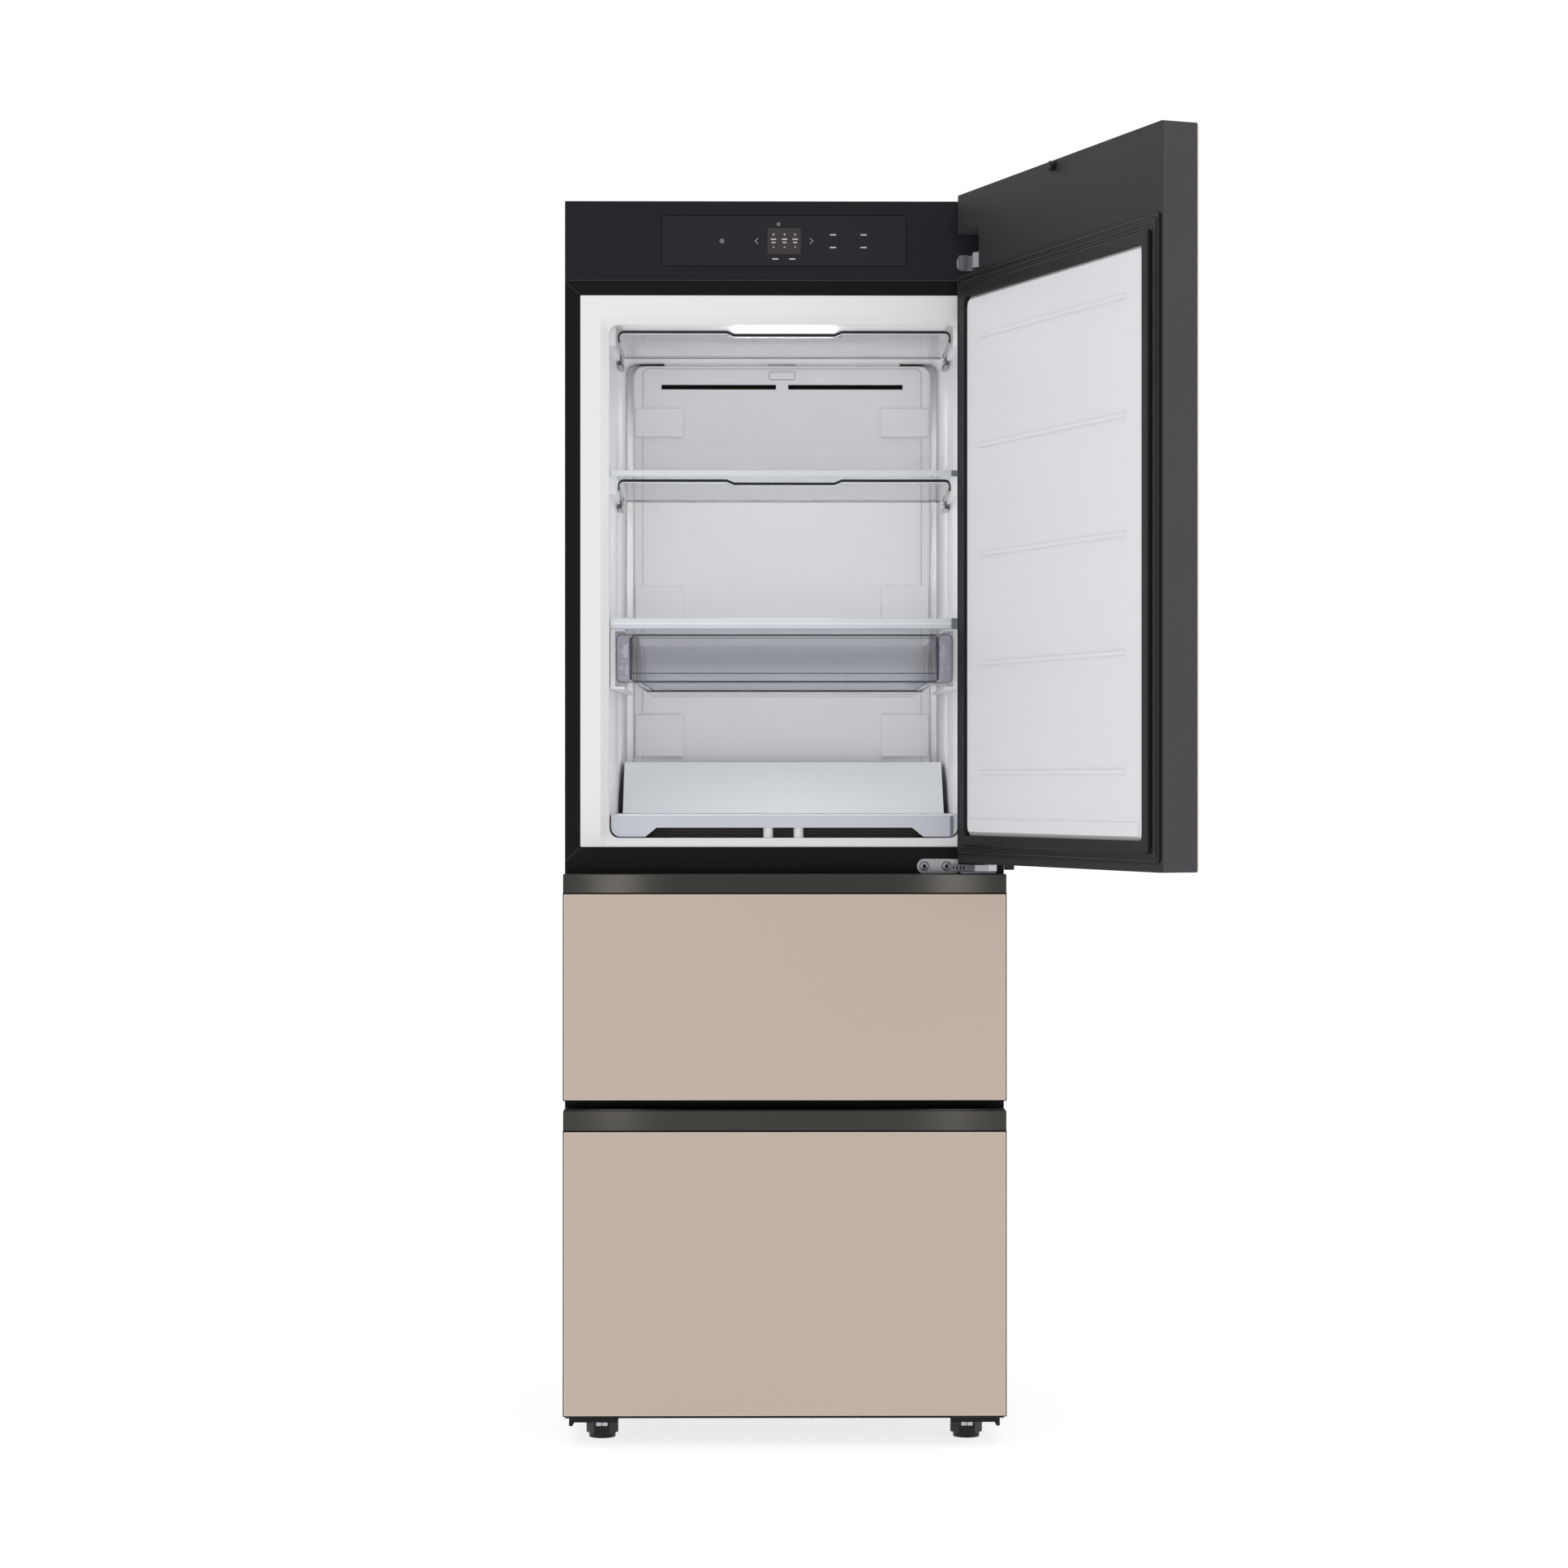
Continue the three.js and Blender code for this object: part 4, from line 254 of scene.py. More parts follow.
def darken_rear(mat, rgb, from_depth):
    """Gives the door's shell another colour behind from_depth, counted from the drawers' faces
    with the door shut."""
    tree = mat.node_tree
    shader = next(n for n in tree.nodes if n.type == "BSDF_PRINCIPLED")
    into = Vector((-math.sin(DOOR_OPEN), math.cos(DOOR_OPEN), 0))
    depth = tree.nodes.new("ShaderNodeVectorMath")
    depth.operation = "DOT_PRODUCT"
    depth.inputs[1].default_value = into
    tree.links.new(tree.nodes.new("ShaderNodeTexCoord").outputs["Object"], depth.inputs[0])
    behind = tree.nodes.new("ShaderNodeMath")
    behind.operation = "GREATER_THAN"
    behind.inputs[1].default_value = on_door(0, from_depth, 0).dot(into)
    tree.links.new(depth.outputs["Value"], behind.inputs[0])
    old = shader.inputs["Base Color"].links[0].from_socket
    mix = tree.nodes.new("ShaderNodeMix")
    mix.data_type = "RGBA"
    mix.inputs["B"].default_value = linear(rgb)
    tree.links.new(behind.outputs[0], mix.inputs["Factor"])
    tree.links.new(old, mix.inputs["A"])
    tree.links.new(mix.outputs["Result"], shader.inputs["Base Color"])


darken_rear(MATERIAL["door shell"], (45, 44, 48), from_depth=53.6)

DRESS = {
    "steel case": ["outer_case"],
    "pan paint": ["base_pan"],
    "hinge grey": ["top_hinge_bracket"],
    "grey steel": ["rear_panel", "machine_cover", "condenser",
                   "drawer_upper_channel_left", "drawer_upper_channel_right",
                   "drawer_lower_channel_left", "drawer_lower_channel_right"],
    "bright steel": ["lower_hinge_bracket",
                     "drawer_upper_rail_left", "drawer_upper_rail_right",
                     "drawer_lower_rail_left", "drawer_lower_rail_right"],
    "foam": ["foam_body"],
    "liner": ["upper_liner", "middle_liner", "lower_liner"],
    "duct": ["duct_cover", "sensor_cover", "tray_rail_left", "tray_rail_right",
             "drawer_upper_box", "drawer_lower_box"],
    "frame": ["front_frame"],
    "fascia": ["control_panel"],
    "window": ["display_window"],
    "lamp": ["led_lens"],
    "glass": ["shelf_upper", "shelf_lower"],
    "smoke": ["flap_upper", "flap_lower"],
    "tray": ["tray"],
    "dark clear": ["flap_upper_runner_left", "flap_upper_runner_right",
                   "flap_lower_runner_left", "flap_lower_runner_right"],
    "trim": ["shelf_trim"],
    "cooling": ["cooling_plate"],
    "deck": ["bottom_deck"],
    "beige": ["door_front_panel", "drawer_upper_front", "drawer_lower_front"],
    "handle": ["drawer_upper_handle", "drawer_lower_handle"],
    "door shell": ["door_shell"],
    "door white": ["door_liner"],
    "rubber": ["door_gasket", "drawer_upper_gasket", "drawer_lower_gasket"],
    "black plastic": ["door_bumper", "drawer_upper_body", "drawer_lower_body", "compressor",
                      "condenser_fan", "foot_left", "foot_right", "roller_left", "roller_right"],
}
for look, names in DRESS.items():
    for name in names:
        nodes[name].data.materials.clear()
        nodes[name].data.materials.append(MATERIAL[look])


# ------------------------------------------------------------------ small makers
def hang(name, mesh, look, body):
    """A finished mesh becomes a piece of that body."""
    piece = bpy.data.objects.new(name, mesh)
    bpy.context.scene.collection.objects.link(piece)
    mesh.materials.clear()
    mesh.materials.append(MATERIAL[look])
    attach(piece, body)


def mesh_of(name, bm):
    """The drawn faces as a mesh, all of them turned outwards."""
    bmesh.ops.recalc_face_normals(bm, faces=bm.faces)
    mesh = bpy.data.meshes.new(name)
    bm.to_mesh(mesh)
    bm.free()
    return mesh


def plate(name, look, body, outlines, near, far, put=place):
    """A piece of flat shapes, each a list of (x, z) in turn order, between two depths."""
    bm = bmesh.new()
    for outline in outlines:
        front = [bm.verts.new(put(x, near, z)) for x, z in outline]
        back = [bm.verts.new(put(x, far, z)) for x, z in outline]
        bm.faces.new(front)
        bm.faces.new(list(reversed(back)))
        for i in range(len(outline)):
            j = (i + 1) % len(outline)
            bm.faces.new([front[j], front[i], back[i], back[j]])
    hang(name, mesh_of(name, bm), look, body)


def frame_line(name, look, body, rings, near, far):
    """A piece of closed frame lines, each an outer and an inner outline, between two depths."""
    bm = bmesh.new()
    for outer, inner in rings:
        outer_near, outer_far, inner_near, inner_far = [
            [bm.verts.new(place(x, y, z)) for x, z in loop]
            for loop in (outer, inner) for y in (near, far)]
        for i in range(len(outer)):
            j = (i + 1) % len(outer)
            bm.faces.new([outer_near[i], outer_near[j], inner_near[j], inner_near[i]])
            bm.faces.new([outer_far[j], outer_far[i], inner_far[i], inner_far[j]])
            bm.faces.new([outer_near[j], outer_near[i], outer_far[i], outer_far[j]])
            bm.faces.new([inner_near[i], inner_near[j], inner_far[j], inner_far[i]])
    hang(name, mesh_of(name, bm), look, body)


def bar(x0, x1, z0, z1):
    """A rectangle."""
    return [(x0, z0), (x1, z0), (x1, z1), (x0, z1)]


def round_bar(x0, x1, z0, z1, r):
    """A rectangle with rounded corners."""
    steps = 5
    points = []
    for cx, cz, start in ((x1 - r, z1 - r, 0), (x0 + r, z1 - r, 90), (x0 + r, z0 + r, 180),
                          (x1 - r, z0 + r, 270)):
        for i in range(steps + 1):
            a = math.radians(start + 90 * i / steps)
            points.append((cx + r * math.cos(a), cz + r * math.sin(a)))
    return points


def ring(x0, x1, z0, z1, r, wide):
    """A closed frame line: the outer outline and the inner one that it runs round."""
    sharpest = 0.2
    return (round_bar(x0, x1, z0, z1, r),
            round_bar(x0 + wide, x1 - wide, z0 + wide, z1 - wide, max(r - wide, sharpest)))


def dot(x, z, r, sides=12):
    """A round spot."""
    turns = [2 * math.pi * i / sides for i in range(sides)]
    return [(x + r * math.cos(a), z + r * math.sin(a)) for a in turns]


def mark(x, z, half_width, half_height):
    """A printed stroke about its middle."""
    return bar(x - half_width, x + half_width, z - half_height, z + half_height)


def chevron(x, z, side, reach=2.4, high=4.2, thick=0.9):
    """An arrow mark that points to the given side."""
    return [(x + side * reach, z), (x - side * reach, z + high),
            (x - side * (reach - thick), z + high), (x + side * (reach + thick), z),
            (x - side * (reach - thick), z - high), (x - side * reach, z - high)]


def stroke(points, wide):
    """A drawn line of the given width along points, as one flat outline."""
    left, right = [], []
    for i, (x, z) in enumerate(points):
        a, b = points[max(i - 1, 0)], points[min(i + 1, len(points) - 1)]
        dx, dz = b[0] - a[0], b[1] - a[1]
        k = wide / 2 / math.hypot(dx, dz)
        left.append((x - dz * k, z + dx * k))
        right.append((x + dz * k, z - dx * k))
    return left + right[::-1]


# ------------------------------------------------------------------ repeats, grown by node trees
# Trees are drawn in millimetres in their own XY plane: X across, Y up, Z towards the viewer.
FLOAT, COUNT, STEP, LOOK = ("NodeSocketFloat", "NodeSocketInt", "NodeSocketVector",
                            "NodeSocketMaterial")
WELD = 1e-7  # metres; nearer points than this become one
SCREW_SIDES = 20
SHOULDER, CROWN = 0.9, 0.5  # radii of a screw head's middle and top, as shares of its own
STAR_WAIST = 0.62  # inner radius of a screw's star, as a share of its own
STAR_THICK = 0.2


class Grower:
    """A Geometry Nodes tree with named sizes, ending in Realize Instances and Set Material."""

    def __init__(self, name, **sizes):
        self.tree = bpy.data.node_groups.new(name, "GeometryNodeTree")
        face = self.tree.interface
        face.new_socket("Geometry", in_out="OUTPUT", socket_type="NodeSocketGeometry")
        for size, kind in {**sizes, "finish": LOOK}.items():
            face.new_socket(size, in_out="INPUT", socket_type=kind)
        self.given = self.tree.nodes.new("NodeGroupInput").outputs

    def add(self, kind, wires, **settings):
        """Adds a node: wires gives each input a value or another node's output."""
        made = self.tree.nodes.new(kind)
        for setting, value in settings.items():
            setattr(made, setting, value)
        for socket, value in wires.items():
            for source in value if isinstance(value, list) else [value]:
                if isinstance(source, bpy.types.NodeSocket):
                    self.tree.links.new(source, made.inputs[socket])
                else:
                    made.inputs[socket].default_value = source
        return made.outputs

    def times(self, a, b):
        """The product of two sizes."""
        return self.add("ShaderNodeMath", {0: a, 1: b}, operation="MULTIPLY")[0]

    def cone(self, bottom, top, depth):
        """A frustum that stands on the XY plane."""
        return self.add("GeometryNodeMeshCone", {
            "Vertices": SCREW_SIDES, "Radius Top": top, "Radius Bottom": bottom, "Depth": depth},
            fill_type="NGON")[0]

    def row_of(self, shape):
        """Copies of shape along a line: first, first + step and so on."""
        line = self.add("GeometryNodeMeshLine", {
            "Count": self.given["count"], "Start Location": self.given["first"],
            "Offset": self.given["step"]}, mode="OFFSET")[0]
        return self.add("GeometryNodeInstanceOnPoints", {"Points": line, "Instance": shape})[0]

    def close(self, shape):
        """Ends the tree with this shape."""
        real = self.add("GeometryNodeRealizeInstances", {0: shape})[0]
        done = self.add("GeometryNodeSetMaterial", {
            "Geometry": real, "Material": self.given["finish"]})[0]
        self.tree.links.new(done, self.tree.nodes.new("NodeGroupOutput").inputs[0])

    def grow(self, name, look, body, slot, spot, **sizes):
        """Runs the tree; spot turns its (x, y, z) into a point of the shared frame."""
        seed = bpy.data.objects.new(name + "_seed", bpy.data.meshes.new(name + "_seed"))
        bpy.context.scene.collection.objects.link(seed)
        run = seed.modifiers.new(name, "NODES")
        run.node_group = self.tree
        for item in self.tree.interface.items_tree:
            if item.in_out == "INPUT":
                given = MATERIAL[look] if item.name == "finish" else sizes[item.name]
                run[item.identifier] = given
        grown = seed.evaluated_get(bpy.context.evaluated_depsgraph_get())
        mesh = bpy.data.meshes.new_from_object(grown)
        seed.modifiers.remove(run)
        bpy.data.objects.remove(seed)
        mesh.name = name
        for vertex in mesh.vertices:
            vertex.co = spot(*vertex.co)
        bm = bmesh.new()
        bm.from_mesh(mesh)
        bmesh.ops.remove_doubles(bm, verts=bm.verts, dist=WELD)
        bmesh.ops.recalc_face_normals(bm, faces=bm.faces)
        bm.to_mesh(mesh)
        bm.free()
        hang(name, mesh, look, body)


# a domed screw head in a row of its kind
screw_heads = Grower("screw_heads", radius=FLOAT, dome=FLOAT, first=STEP, step=STEP, count=COUNT)
foot_radius = screw_heads.given["radius"]
shoulder = screw_heads.times(foot_radius, SHOULDER)
half_dome = screw_heads.times(screw_heads.given["dome"], 0.5)
skirt = screw_heads.cone(foot_radius, shoulder, half_dome)
crown = screw_heads.cone(shoulder, screw_heads.times(foot_radius, CROWN), half_dome)
lift = screw_heads.add("ShaderNodeCombineXYZ", {"Z": half_dome})[0]
crown = screw_heads.add("GeometryNodeTransform", {"Geometry": crown, "Translation": lift})[0]
head = screw_heads.add("GeometryNodeJoinGeometry", {0: [skirt, crown]})[0]
screw_heads.close(screw_heads.row_of(head))

# the drive recess of those screws: a six-pointed star
screw_stars = Grower("screw_stars", radius=FLOAT, first=STEP, step=STEP, count=COUNT)
star = screw_stars.add("GeometryNodeCurveStar", {
    "Points": 6, "Inner Radius": screw_stars.times(screw_stars.given["radius"], STAR_WAIST),
    "Outer Radius": screw_stars.given["radius"]})[0]
star = screw_stars.add("GeometryNodeFillCurve", {"Curve": star})[0]
star = screw_stars.add("GeometryNodeExtrudeMesh", {"Mesh": star, "Offset Scale": STAR_THICK})[0]
screw_stars.close(screw_stars.row_of(star))

# a round lip that runs round a frame
frame_lips = Grower("frame_lips", width=FLOAT, height=FLOAT, corner=FLOAT, radius=FLOAT)
path = frame_lips.add("GeometryNodeCurvePrimitiveQuadrilateral", {
    "Width": frame_lips.given["width"], "Height": frame_lips.given["height"]})[0]
path = frame_lips.add("GeometryNodeFilletCurve", {
    "Curve": path, "Count": 5, "Radius": frame_lips.given["corner"]}, mode="POLY")[0]
bead = frame_lips.add("GeometryNodeCurvePrimitiveCircle", {
    "Resolution": 8, "Radius": frame_lips.given["radius"]})[0]
frame_lips.close(frame_lips.add("GeometryNodeCurveToMesh", {
    "Curve": path, "Profile Curve": bead})[0])

# a row of round rods
bar_row = Grower("bar_row", length=FLOAT, radius=FLOAT, first=STEP, step=STEP, count=COUNT)
half = bar_row.times(bar_row.given["length"], 0.5)
line = bar_row.add("GeometryNodeCurvePrimitiveLine", {
    "Start": bar_row.add("ShaderNodeCombineXYZ", {"X": bar_row.times(half, -1.0)})[0],
    "End": bar_row.add("ShaderNodeCombineXYZ", {"X": half})[0]})[0]
arc = bar_row.add("GeometryNodeCurvePrimitiveCircle", {
    "Resolution": 10, "Radius": bar_row.given["radius"]})[0]
rod = bar_row.add("GeometryNodeCurveToMesh", {
    "Curve": line, "Profile Curve": arc, "Fill Caps": True})[0]
bar_row.close(bar_row.row_of(rod))


def facing(y, put=place, side=1, x0=0.0, z0=0.0):
    """Sets a tree's XY plane upright at depth y, with its Z towards the front (side 1) or the
    back (side -1)."""
    return lambda x, up, out: put(x0 + x, y - side * out, z0 + up)


def quarter_turn(spot):
    """Turns a tree in its own plane, so that a row of rods stands side by side."""
    return lambda x, up, out: spot(up, x, out)


# ------------------------------------------------------------------ control panel
GLASS_Y = PANEL_Y - 0.05
plate("display_screen", "screen", "cabinet", [round_bar(-25.5, 24.4, 1782, 1821, 1)],
      GLASS_Y - 0.1, GLASS_Y + 0.6)
marks = [chevron(-41.5, 1801.6, -1), chevron(40, 1801.6, 1)]
for x in (-16.5, 0, 16):
    marks += [dot(x, 1811.5, 1.3), mark(x, 1804.4, 4, 1), mark(x, 1799.5, 3, 0.9),
              dot(x, 1792.5, 1.1)]
marks += [mark(x, 1774.75, 4.6, 0.95) for x in (-13.7, 11.7)]
marks += [mark(x, z, 4.6, 1) for x in (73, 119) for z in (1811, 1792)]
plate("display_marks", "marks", "cabinet", marks, GLASS_Y - 0.2, GLASS_Y + 0.02)
plate("display_lamp", "dim marks", "cabinet",
      [dot(-94, 1801.6, 4, sides=6), dot(-9, 1827, 3)], GLASS_Y - 0.15, GLASS_Y + 0.02)
frame_line("window_line", "dark seam", "cabinet",
           [ring(-184.6, 183.1, 1763.4, 1840.6, 3.6, 0.8)], PANEL_Y - 0.06, PANEL_Y + 0.3)
# a lighter line along the fascia's foot, and the frame's mitre joints drawn as lighter lines:
# painted highlight
plate("fascia_foot", "painted highlight grey", "cabinet", [bar(-329, 329, 1742.1, 1742.9)],
      PANEL_Y - 0.05, PANEL_Y + 0.3)
mitres = [[(side * 329.4, 1740), (side * 308, 1721)] for side in (-1, 1)]
mitres += [[(side * 329, 871), (side * 308, 889)] for side in (-1, 1)]
plate("frame_mitres", "painted highlight grey", "cabinet", [stroke(m, 0.7) for m in mitres],
      FRAME_Y - 0.05, FRAME_Y + 0.4)

# ------------------------------------------------------------------ shelves
# a light nose on the upper glass's front edge, and the lines of the lower shelf's trim: a painted
# highlight line with painted shade below it
NOSE_HALF, TRIM_LEFT, TRIM_RIGHT, CAP_LEFT, CAP_RIGHT = 262.2, -261.6, 261.8, 252, 262
plate("shelf_nose", "trim", "cabinet",
      [bar(-NOSE_HALF, NOSE_HALF, 1449.9, 1458.7)], SHELF_Y - 0.3, SHELF_Y + 0.6)
plate("shelf_nose_cap", "end cap and painted shade", "cabinet",
      [bar(CAP_LEFT, CAP_RIGHT, 1449.8, 1458.75)], SHELF_Y - 0.5, SHELF_Y + 0.4)
plate("trim_shade", "trim shade", "cabinet",
      [bar(TRIM_LEFT, TRIM_RIGHT, 1219.7, 1226.2)], SHELF_Y - 0.4, SHELF_Y + 0.5)
plate("trim_lit_line", "lit edge", "cabinet",
      [bar(TRIM_LEFT, TRIM_RIGHT, 1226.2, 1228.0)], SHELF_Y - 0.5, SHELF_Y + 0.5)
plate("trim_under_shade", "seam and painted shade", "cabinet",
      [bar(TRIM_LEFT, TRIM_RIGHT, 1219.1, 1220.0)], SHELF_Y - 0.5, SHELF_Y + 0.6)
plate("trim_cap", "end cap and painted shade", "cabinet",
      [round_bar(CAP_LEFT, CAP_RIGHT, 1219.6, 1235.7, 1)], SHELF_Y - 0.6, SHELF_Y + 0.4)

# ------------------------------------------------------------------ flap guards
DIP, DIP_FLAT, DIP_RAMP = 4.8, 76, 11  # finger dip in a guard's front rim
RIM_Y = -187.0  # that rim, counted from the pins


def rim_line(top, half, corner, skirt, thick, side_thick):
    """The line of a guard's front rim, seen from the front, down to its skirts."""
    steps = 5

    def line(inset, across):
        points = [(DIP_FLAT, top - inset - DIP), (DIP_FLAT + DIP_RAMP, top - inset)]
        for i in range(steps + 1):
            a = math.radians(90 * i / steps)
            points.append((half - corner + (corner - across) * math.sin(a),
                           top - corner + (corner - inset) * math.cos(a)))
        points.append((half - across, top - skirt))
        return points
    outer, inner = line(0, 0), line(thick, side_thick)
    return ([(-x, z) for x, z in reversed(outer)] + outer + inner[::-1]
            + [(-x, z) for x, z in inner])


for level in ("upper", "lower"):
    put = on_flap(level)
    name = "flap_" + level
    plate(name + "_rim", "rim", name,
          [rim_line(2.6, 251.6, 9, 17.5, 4.1, 2.6)], RIM_Y - 0.9, RIM_Y + 1, put)
    # a white line just under each rim: painted highlight
    plate(name + "_lit_line", "lit edge", name,
          [rim_line(-1.6, 249.0, 6, 9, 1.1, 0.5)], RIM_Y - 0.6, RIM_Y + 0.6, put)
    plate(name + "_back_line", "tray edge", name,
          [bar(-246, 246, -1.6, -0.4), bar(-246, 246, 1.6, 2.6)], 4.4, 5.3, put)

# ------------------------------------------------------------------ duct, deck and tray
# painted shade in the air duct, seen through the two slots, and the gap round the sensor's cover
plate("duct_slot_shade", "dark seam", "cabinet",
      [round_bar(-206, 206, 1624, 1652, 5)], DUCT_Y + 4.5, DUCT_Y + 11)
frame_line("sensor_line", "seam and painted shade", "cabinet",
           [ring(-21.2, 21.2, 1650.2, 1664.0, 2.6, 0.9)], DUCT_Y + 0.2, DUCT_Y + 1.2)

# outlines moulded in the tray's face
frame_line("tray_lines", "tray edge", "tray",
           [ring(-232.6, 232.6, 1139.4, 1210.6, 7, 1.8),
            ring(-253.8, 253.8, 1138.2, 1211.4, 7, 0.9)], TRAY_Y - 0.5, TRAY_Y + 0.3)
plate("tray_bands", "tray edge", "tray",
      [bar(-230, 230, 1152.0, 1153.2), bar(-230, 230, 1205.6, 1206.4)],
      TRAY_Y - 0.4, TRAY_Y + 0.3)

# fine lines of the duct cover: painted shade along the crease inside its raised border, and the
# gaps, lip and notch at its top, the notch in painted shade
DUCT_GAP_X, DUCT_GAP_HALF = 214, 20
frame_line("duct_border_shade", "seam and painted shade", "cabinet",
           [ring(-229.6, 229.6, 921.5, 1668.9, 9.5, 0.7)], DUCT_Y - 0.1, DUCT_Y + 0.6)
plate("duct_gap", "dark seam", "cabinet",
      [bar(side * DUCT_GAP_X - DUCT_GAP_HALF, side * DUCT_GAP_X + DUCT_GAP_HALF, 1673.5, 1674.4)
       for side in (-1, 1)], DUCT_Y + 0.2, DUCT_Y + 5)
plate("duct_lip", "duct", "cabinet", [bar(-193, 193, 1674.2, 1676.7)],
      DUCT_Y + 0.4, DUCT_Y + 6)
plate("duct_recess_shade", "end cap and painted shade", "cabinet", [bar(-23, 23, 1674.2, 1675.6)],
      DUCT_Y + 0.2, DUCT_Y + 1)

# the deck's fold in painted highlight and its right-hand end in painted shade, and the gap under
# it with its two posts
POST_Y, GAP_Y = 97, 109.6
plate("deck_highlight_line", "lit edge", "cabinet", [bar(-252, 252, 937.7, 939.7)],
      TRAY_Y - 0.4, TRAY_Y + 0.5)
plate("deck_right_shade", "end cap and painted shade", "cabinet", [bar(250.5, 255.5, 905, 936.5)],
      TRAY_Y - 0.3, TRAY_Y + 0.4)
# the dark of the gap: painted shade
plate("deck_gap_shade", "painted shade brown", "cabinet", [bar(-203, 203, 904.5, 920.4)],
      GAP_Y, GAP_Y + 1)
bar_row.grow("deck_post_fronts", "duct", "cabinet", "white_moulding",
             quarter_turn(facing(POST_Y, z0=912.3)), length=15.6, radius=7.4, first=(0, -24.5, 0),
             step=(0, 46, 0), count=2)

# stepped snaps moulded in the tray's wings, and the thick edges of the tub behind
SNAPS = ((236, 243.5, 1176, 1196), (243.5, 247, 1184, 1188), (238, 248.5, 1169.5, 1171.5),
         (236, 240, 1150, 1165), (243, 249, 1158, 1163), (236.5, 247.5, 1144.5, 1147))
WING_X, WING_HALF, TUB_EDGE_X, TUB_EDGE_HALF = 244.4, 9, 231.6, 2
plate("tray_wing_faces", "wing tint", "tray",
      [round_bar(side * WING_X - WING_HALF, side * WING_X + WING_HALF, 1140, 1209.8, 3)
       for side in (-1, 1)], TRAY_Y + 0.1, TRAY_Y + 0.8)
plate("tray_snaps", "snap tint", "tray",
      [[(side * x, z) for x, z in bar(*snap)] for side in (-1, 1) for snap in SNAPS],
      TRAY_Y - 0.2, TRAY_Y + 0.4)
plate("tray_corners", "tray edge", "tray",
      [bar(side * TUB_EDGE_X - TUB_EDGE_HALF, side * TUB_EDGE_X + TUB_EDGE_HALF, 1143, 1206)
       for side in (-1, 1)], TRAY_Y - 0.6, TRAY_Y + 0.2)

# ------------------------------------------------------------------ hinges and feet
SCREW_ROW = {"first": (HINGE_SCREWS_X[0], HINGE_SCREWS_Z, 0),
             "step": (HINGE_SCREWS_X[1] - HINGE_SCREWS_X[0], 0, 0), "count": 2}
screw_heads.grow("hinge_screws", "zinc", "cabinet", "bright_steel", facing(HINGE_Y),
                 radius=6.9, dome=1.2, **SCREW_ROW)
screw_stars.grow("hinge_screw_stars", "dark seam", "cabinet", "black_plastic",
                 facing(HINGE_Y - 1.05), radius=3.7, **SCREW_ROW)
for where, x in zip(("left", "right"), HINGE_SCREWS_X):
    frame_lips.grow("hinge_screw_rim_" + where, "end cap and painted shade", "cabinet", "bright_steel",
                    facing(HINGE_Y - 1.2, x0=x, z0=HINGE_SCREWS_Z), width=14.8, height=14.8,
                    corner=7.3, radius=0.35)

BLADE_FOOT = (249, 57, 860.2)
BLADE_WAY = Vector((34, -49.8)).normalized()


def on_blade(x, up, out):
    """Points of the lower arm's slanting face, counted from its foot at the cabinet."""
    return place(BLADE_FOOT[0] + BLADE_WAY.x * x + BLADE_WAY.y * out,
                 BLADE_FOOT[1] + BLADE_WAY.y * x - BLADE_WAY.x * out, BLADE_FOOT[2] + up)


def seen_from_above(x, z, y):
    """Lets plate() raise a plan outline, with its points as (x, y) and its depths as levels."""
    return place(x, y, z)


# the hinge's hood, darker than its plate: painted shade on its curve
HOOD = [(261.3, 60.4), (261.9, 57.6), (264, 55.3), (268, 54), (274.7, 53.4),  # outer curve
        (274.7, 56), (268.6, 56.6), (265.4, 58), (263.8, 60.4)]  # and back along the inner one
plate("hinge_hood", "hood painted shade", "cabinet", [HOOD], 1757.0, 1779.2,
      seen_from_above)

# the zinc bolt above each foot shows as two lobes
FOOT_X, BOLT_LOBES, LOBE_WIDE = 275, (-8.8, 0.4), 8.4
for foot, side in (("foot_left", -1), ("foot_right", 1)):
    lobes = [round_bar(side * FOOT_X + a, side * FOOT_X + a + LOBE_WIDE, 18.6, 24.0, 1.6)
             for a in BOLT_LOBES]
    plate(foot + "_bolt", "zinc", foot, lobes, 74.7, 75.6)

bar_row.grow("hinge_notches", "dark seam", "cabinet", "black_plastic", quarter_turn(on_blade),
             length=5.6, radius=0.9, first=(0, 8, 0), step=(0, 8.5, 0), count=4)
plate("hinge_base", "end cap and painted shade", "cabinet", [round_bar(262, 315, 852.1, 854.9, 1.2)],
      10, 59)
plate("door_stop_block", "black plastic", "door",
      [round_bar(239, 249, 858.6, 867.2, 1.5)], 4, 16, on_door)


# ------------------------------------------------------------------ seals
def seal_lip(name, body, spot, wide, high, inset, radius):
    """A rubber lip that runs round a seal, inset from its outline, lighter than the rubber:
    painted highlight.
    """
    frame_lips.grow(name, "lip shine", body, "rubber", spot, width=wide - 2 * inset,
                    height=high - 2 * inset, corner=6, radius=radius)


for i, (inset, radius) in enumerate(((3.2, 0.9), (11.5, 1.1), (16.5, 0.9))):
    seal_lip("door_gasket_lip_%d" % (i + 1), "door",
             facing(GASKET_Y, on_door, side=-1, z0=DOOR_SEAL_MIDDLE),
             DOOR_SEAL_WIDE, DOOR_SEAL_HIGH, inset, radius)
for level, (bottom, top) in DRAWER_SEALS.items():
    for i, inset in enumerate((3.5, 9)):
        seal_lip("drawer_%s_gasket_lip_%d" % (level, i + 1), "drawer_" + level,
                 facing(GASKET_Y, side=-1, z0=(bottom + top) / 2),
                 DRAWER_SEAL_WIDE, top - bottom, inset, 0.9)

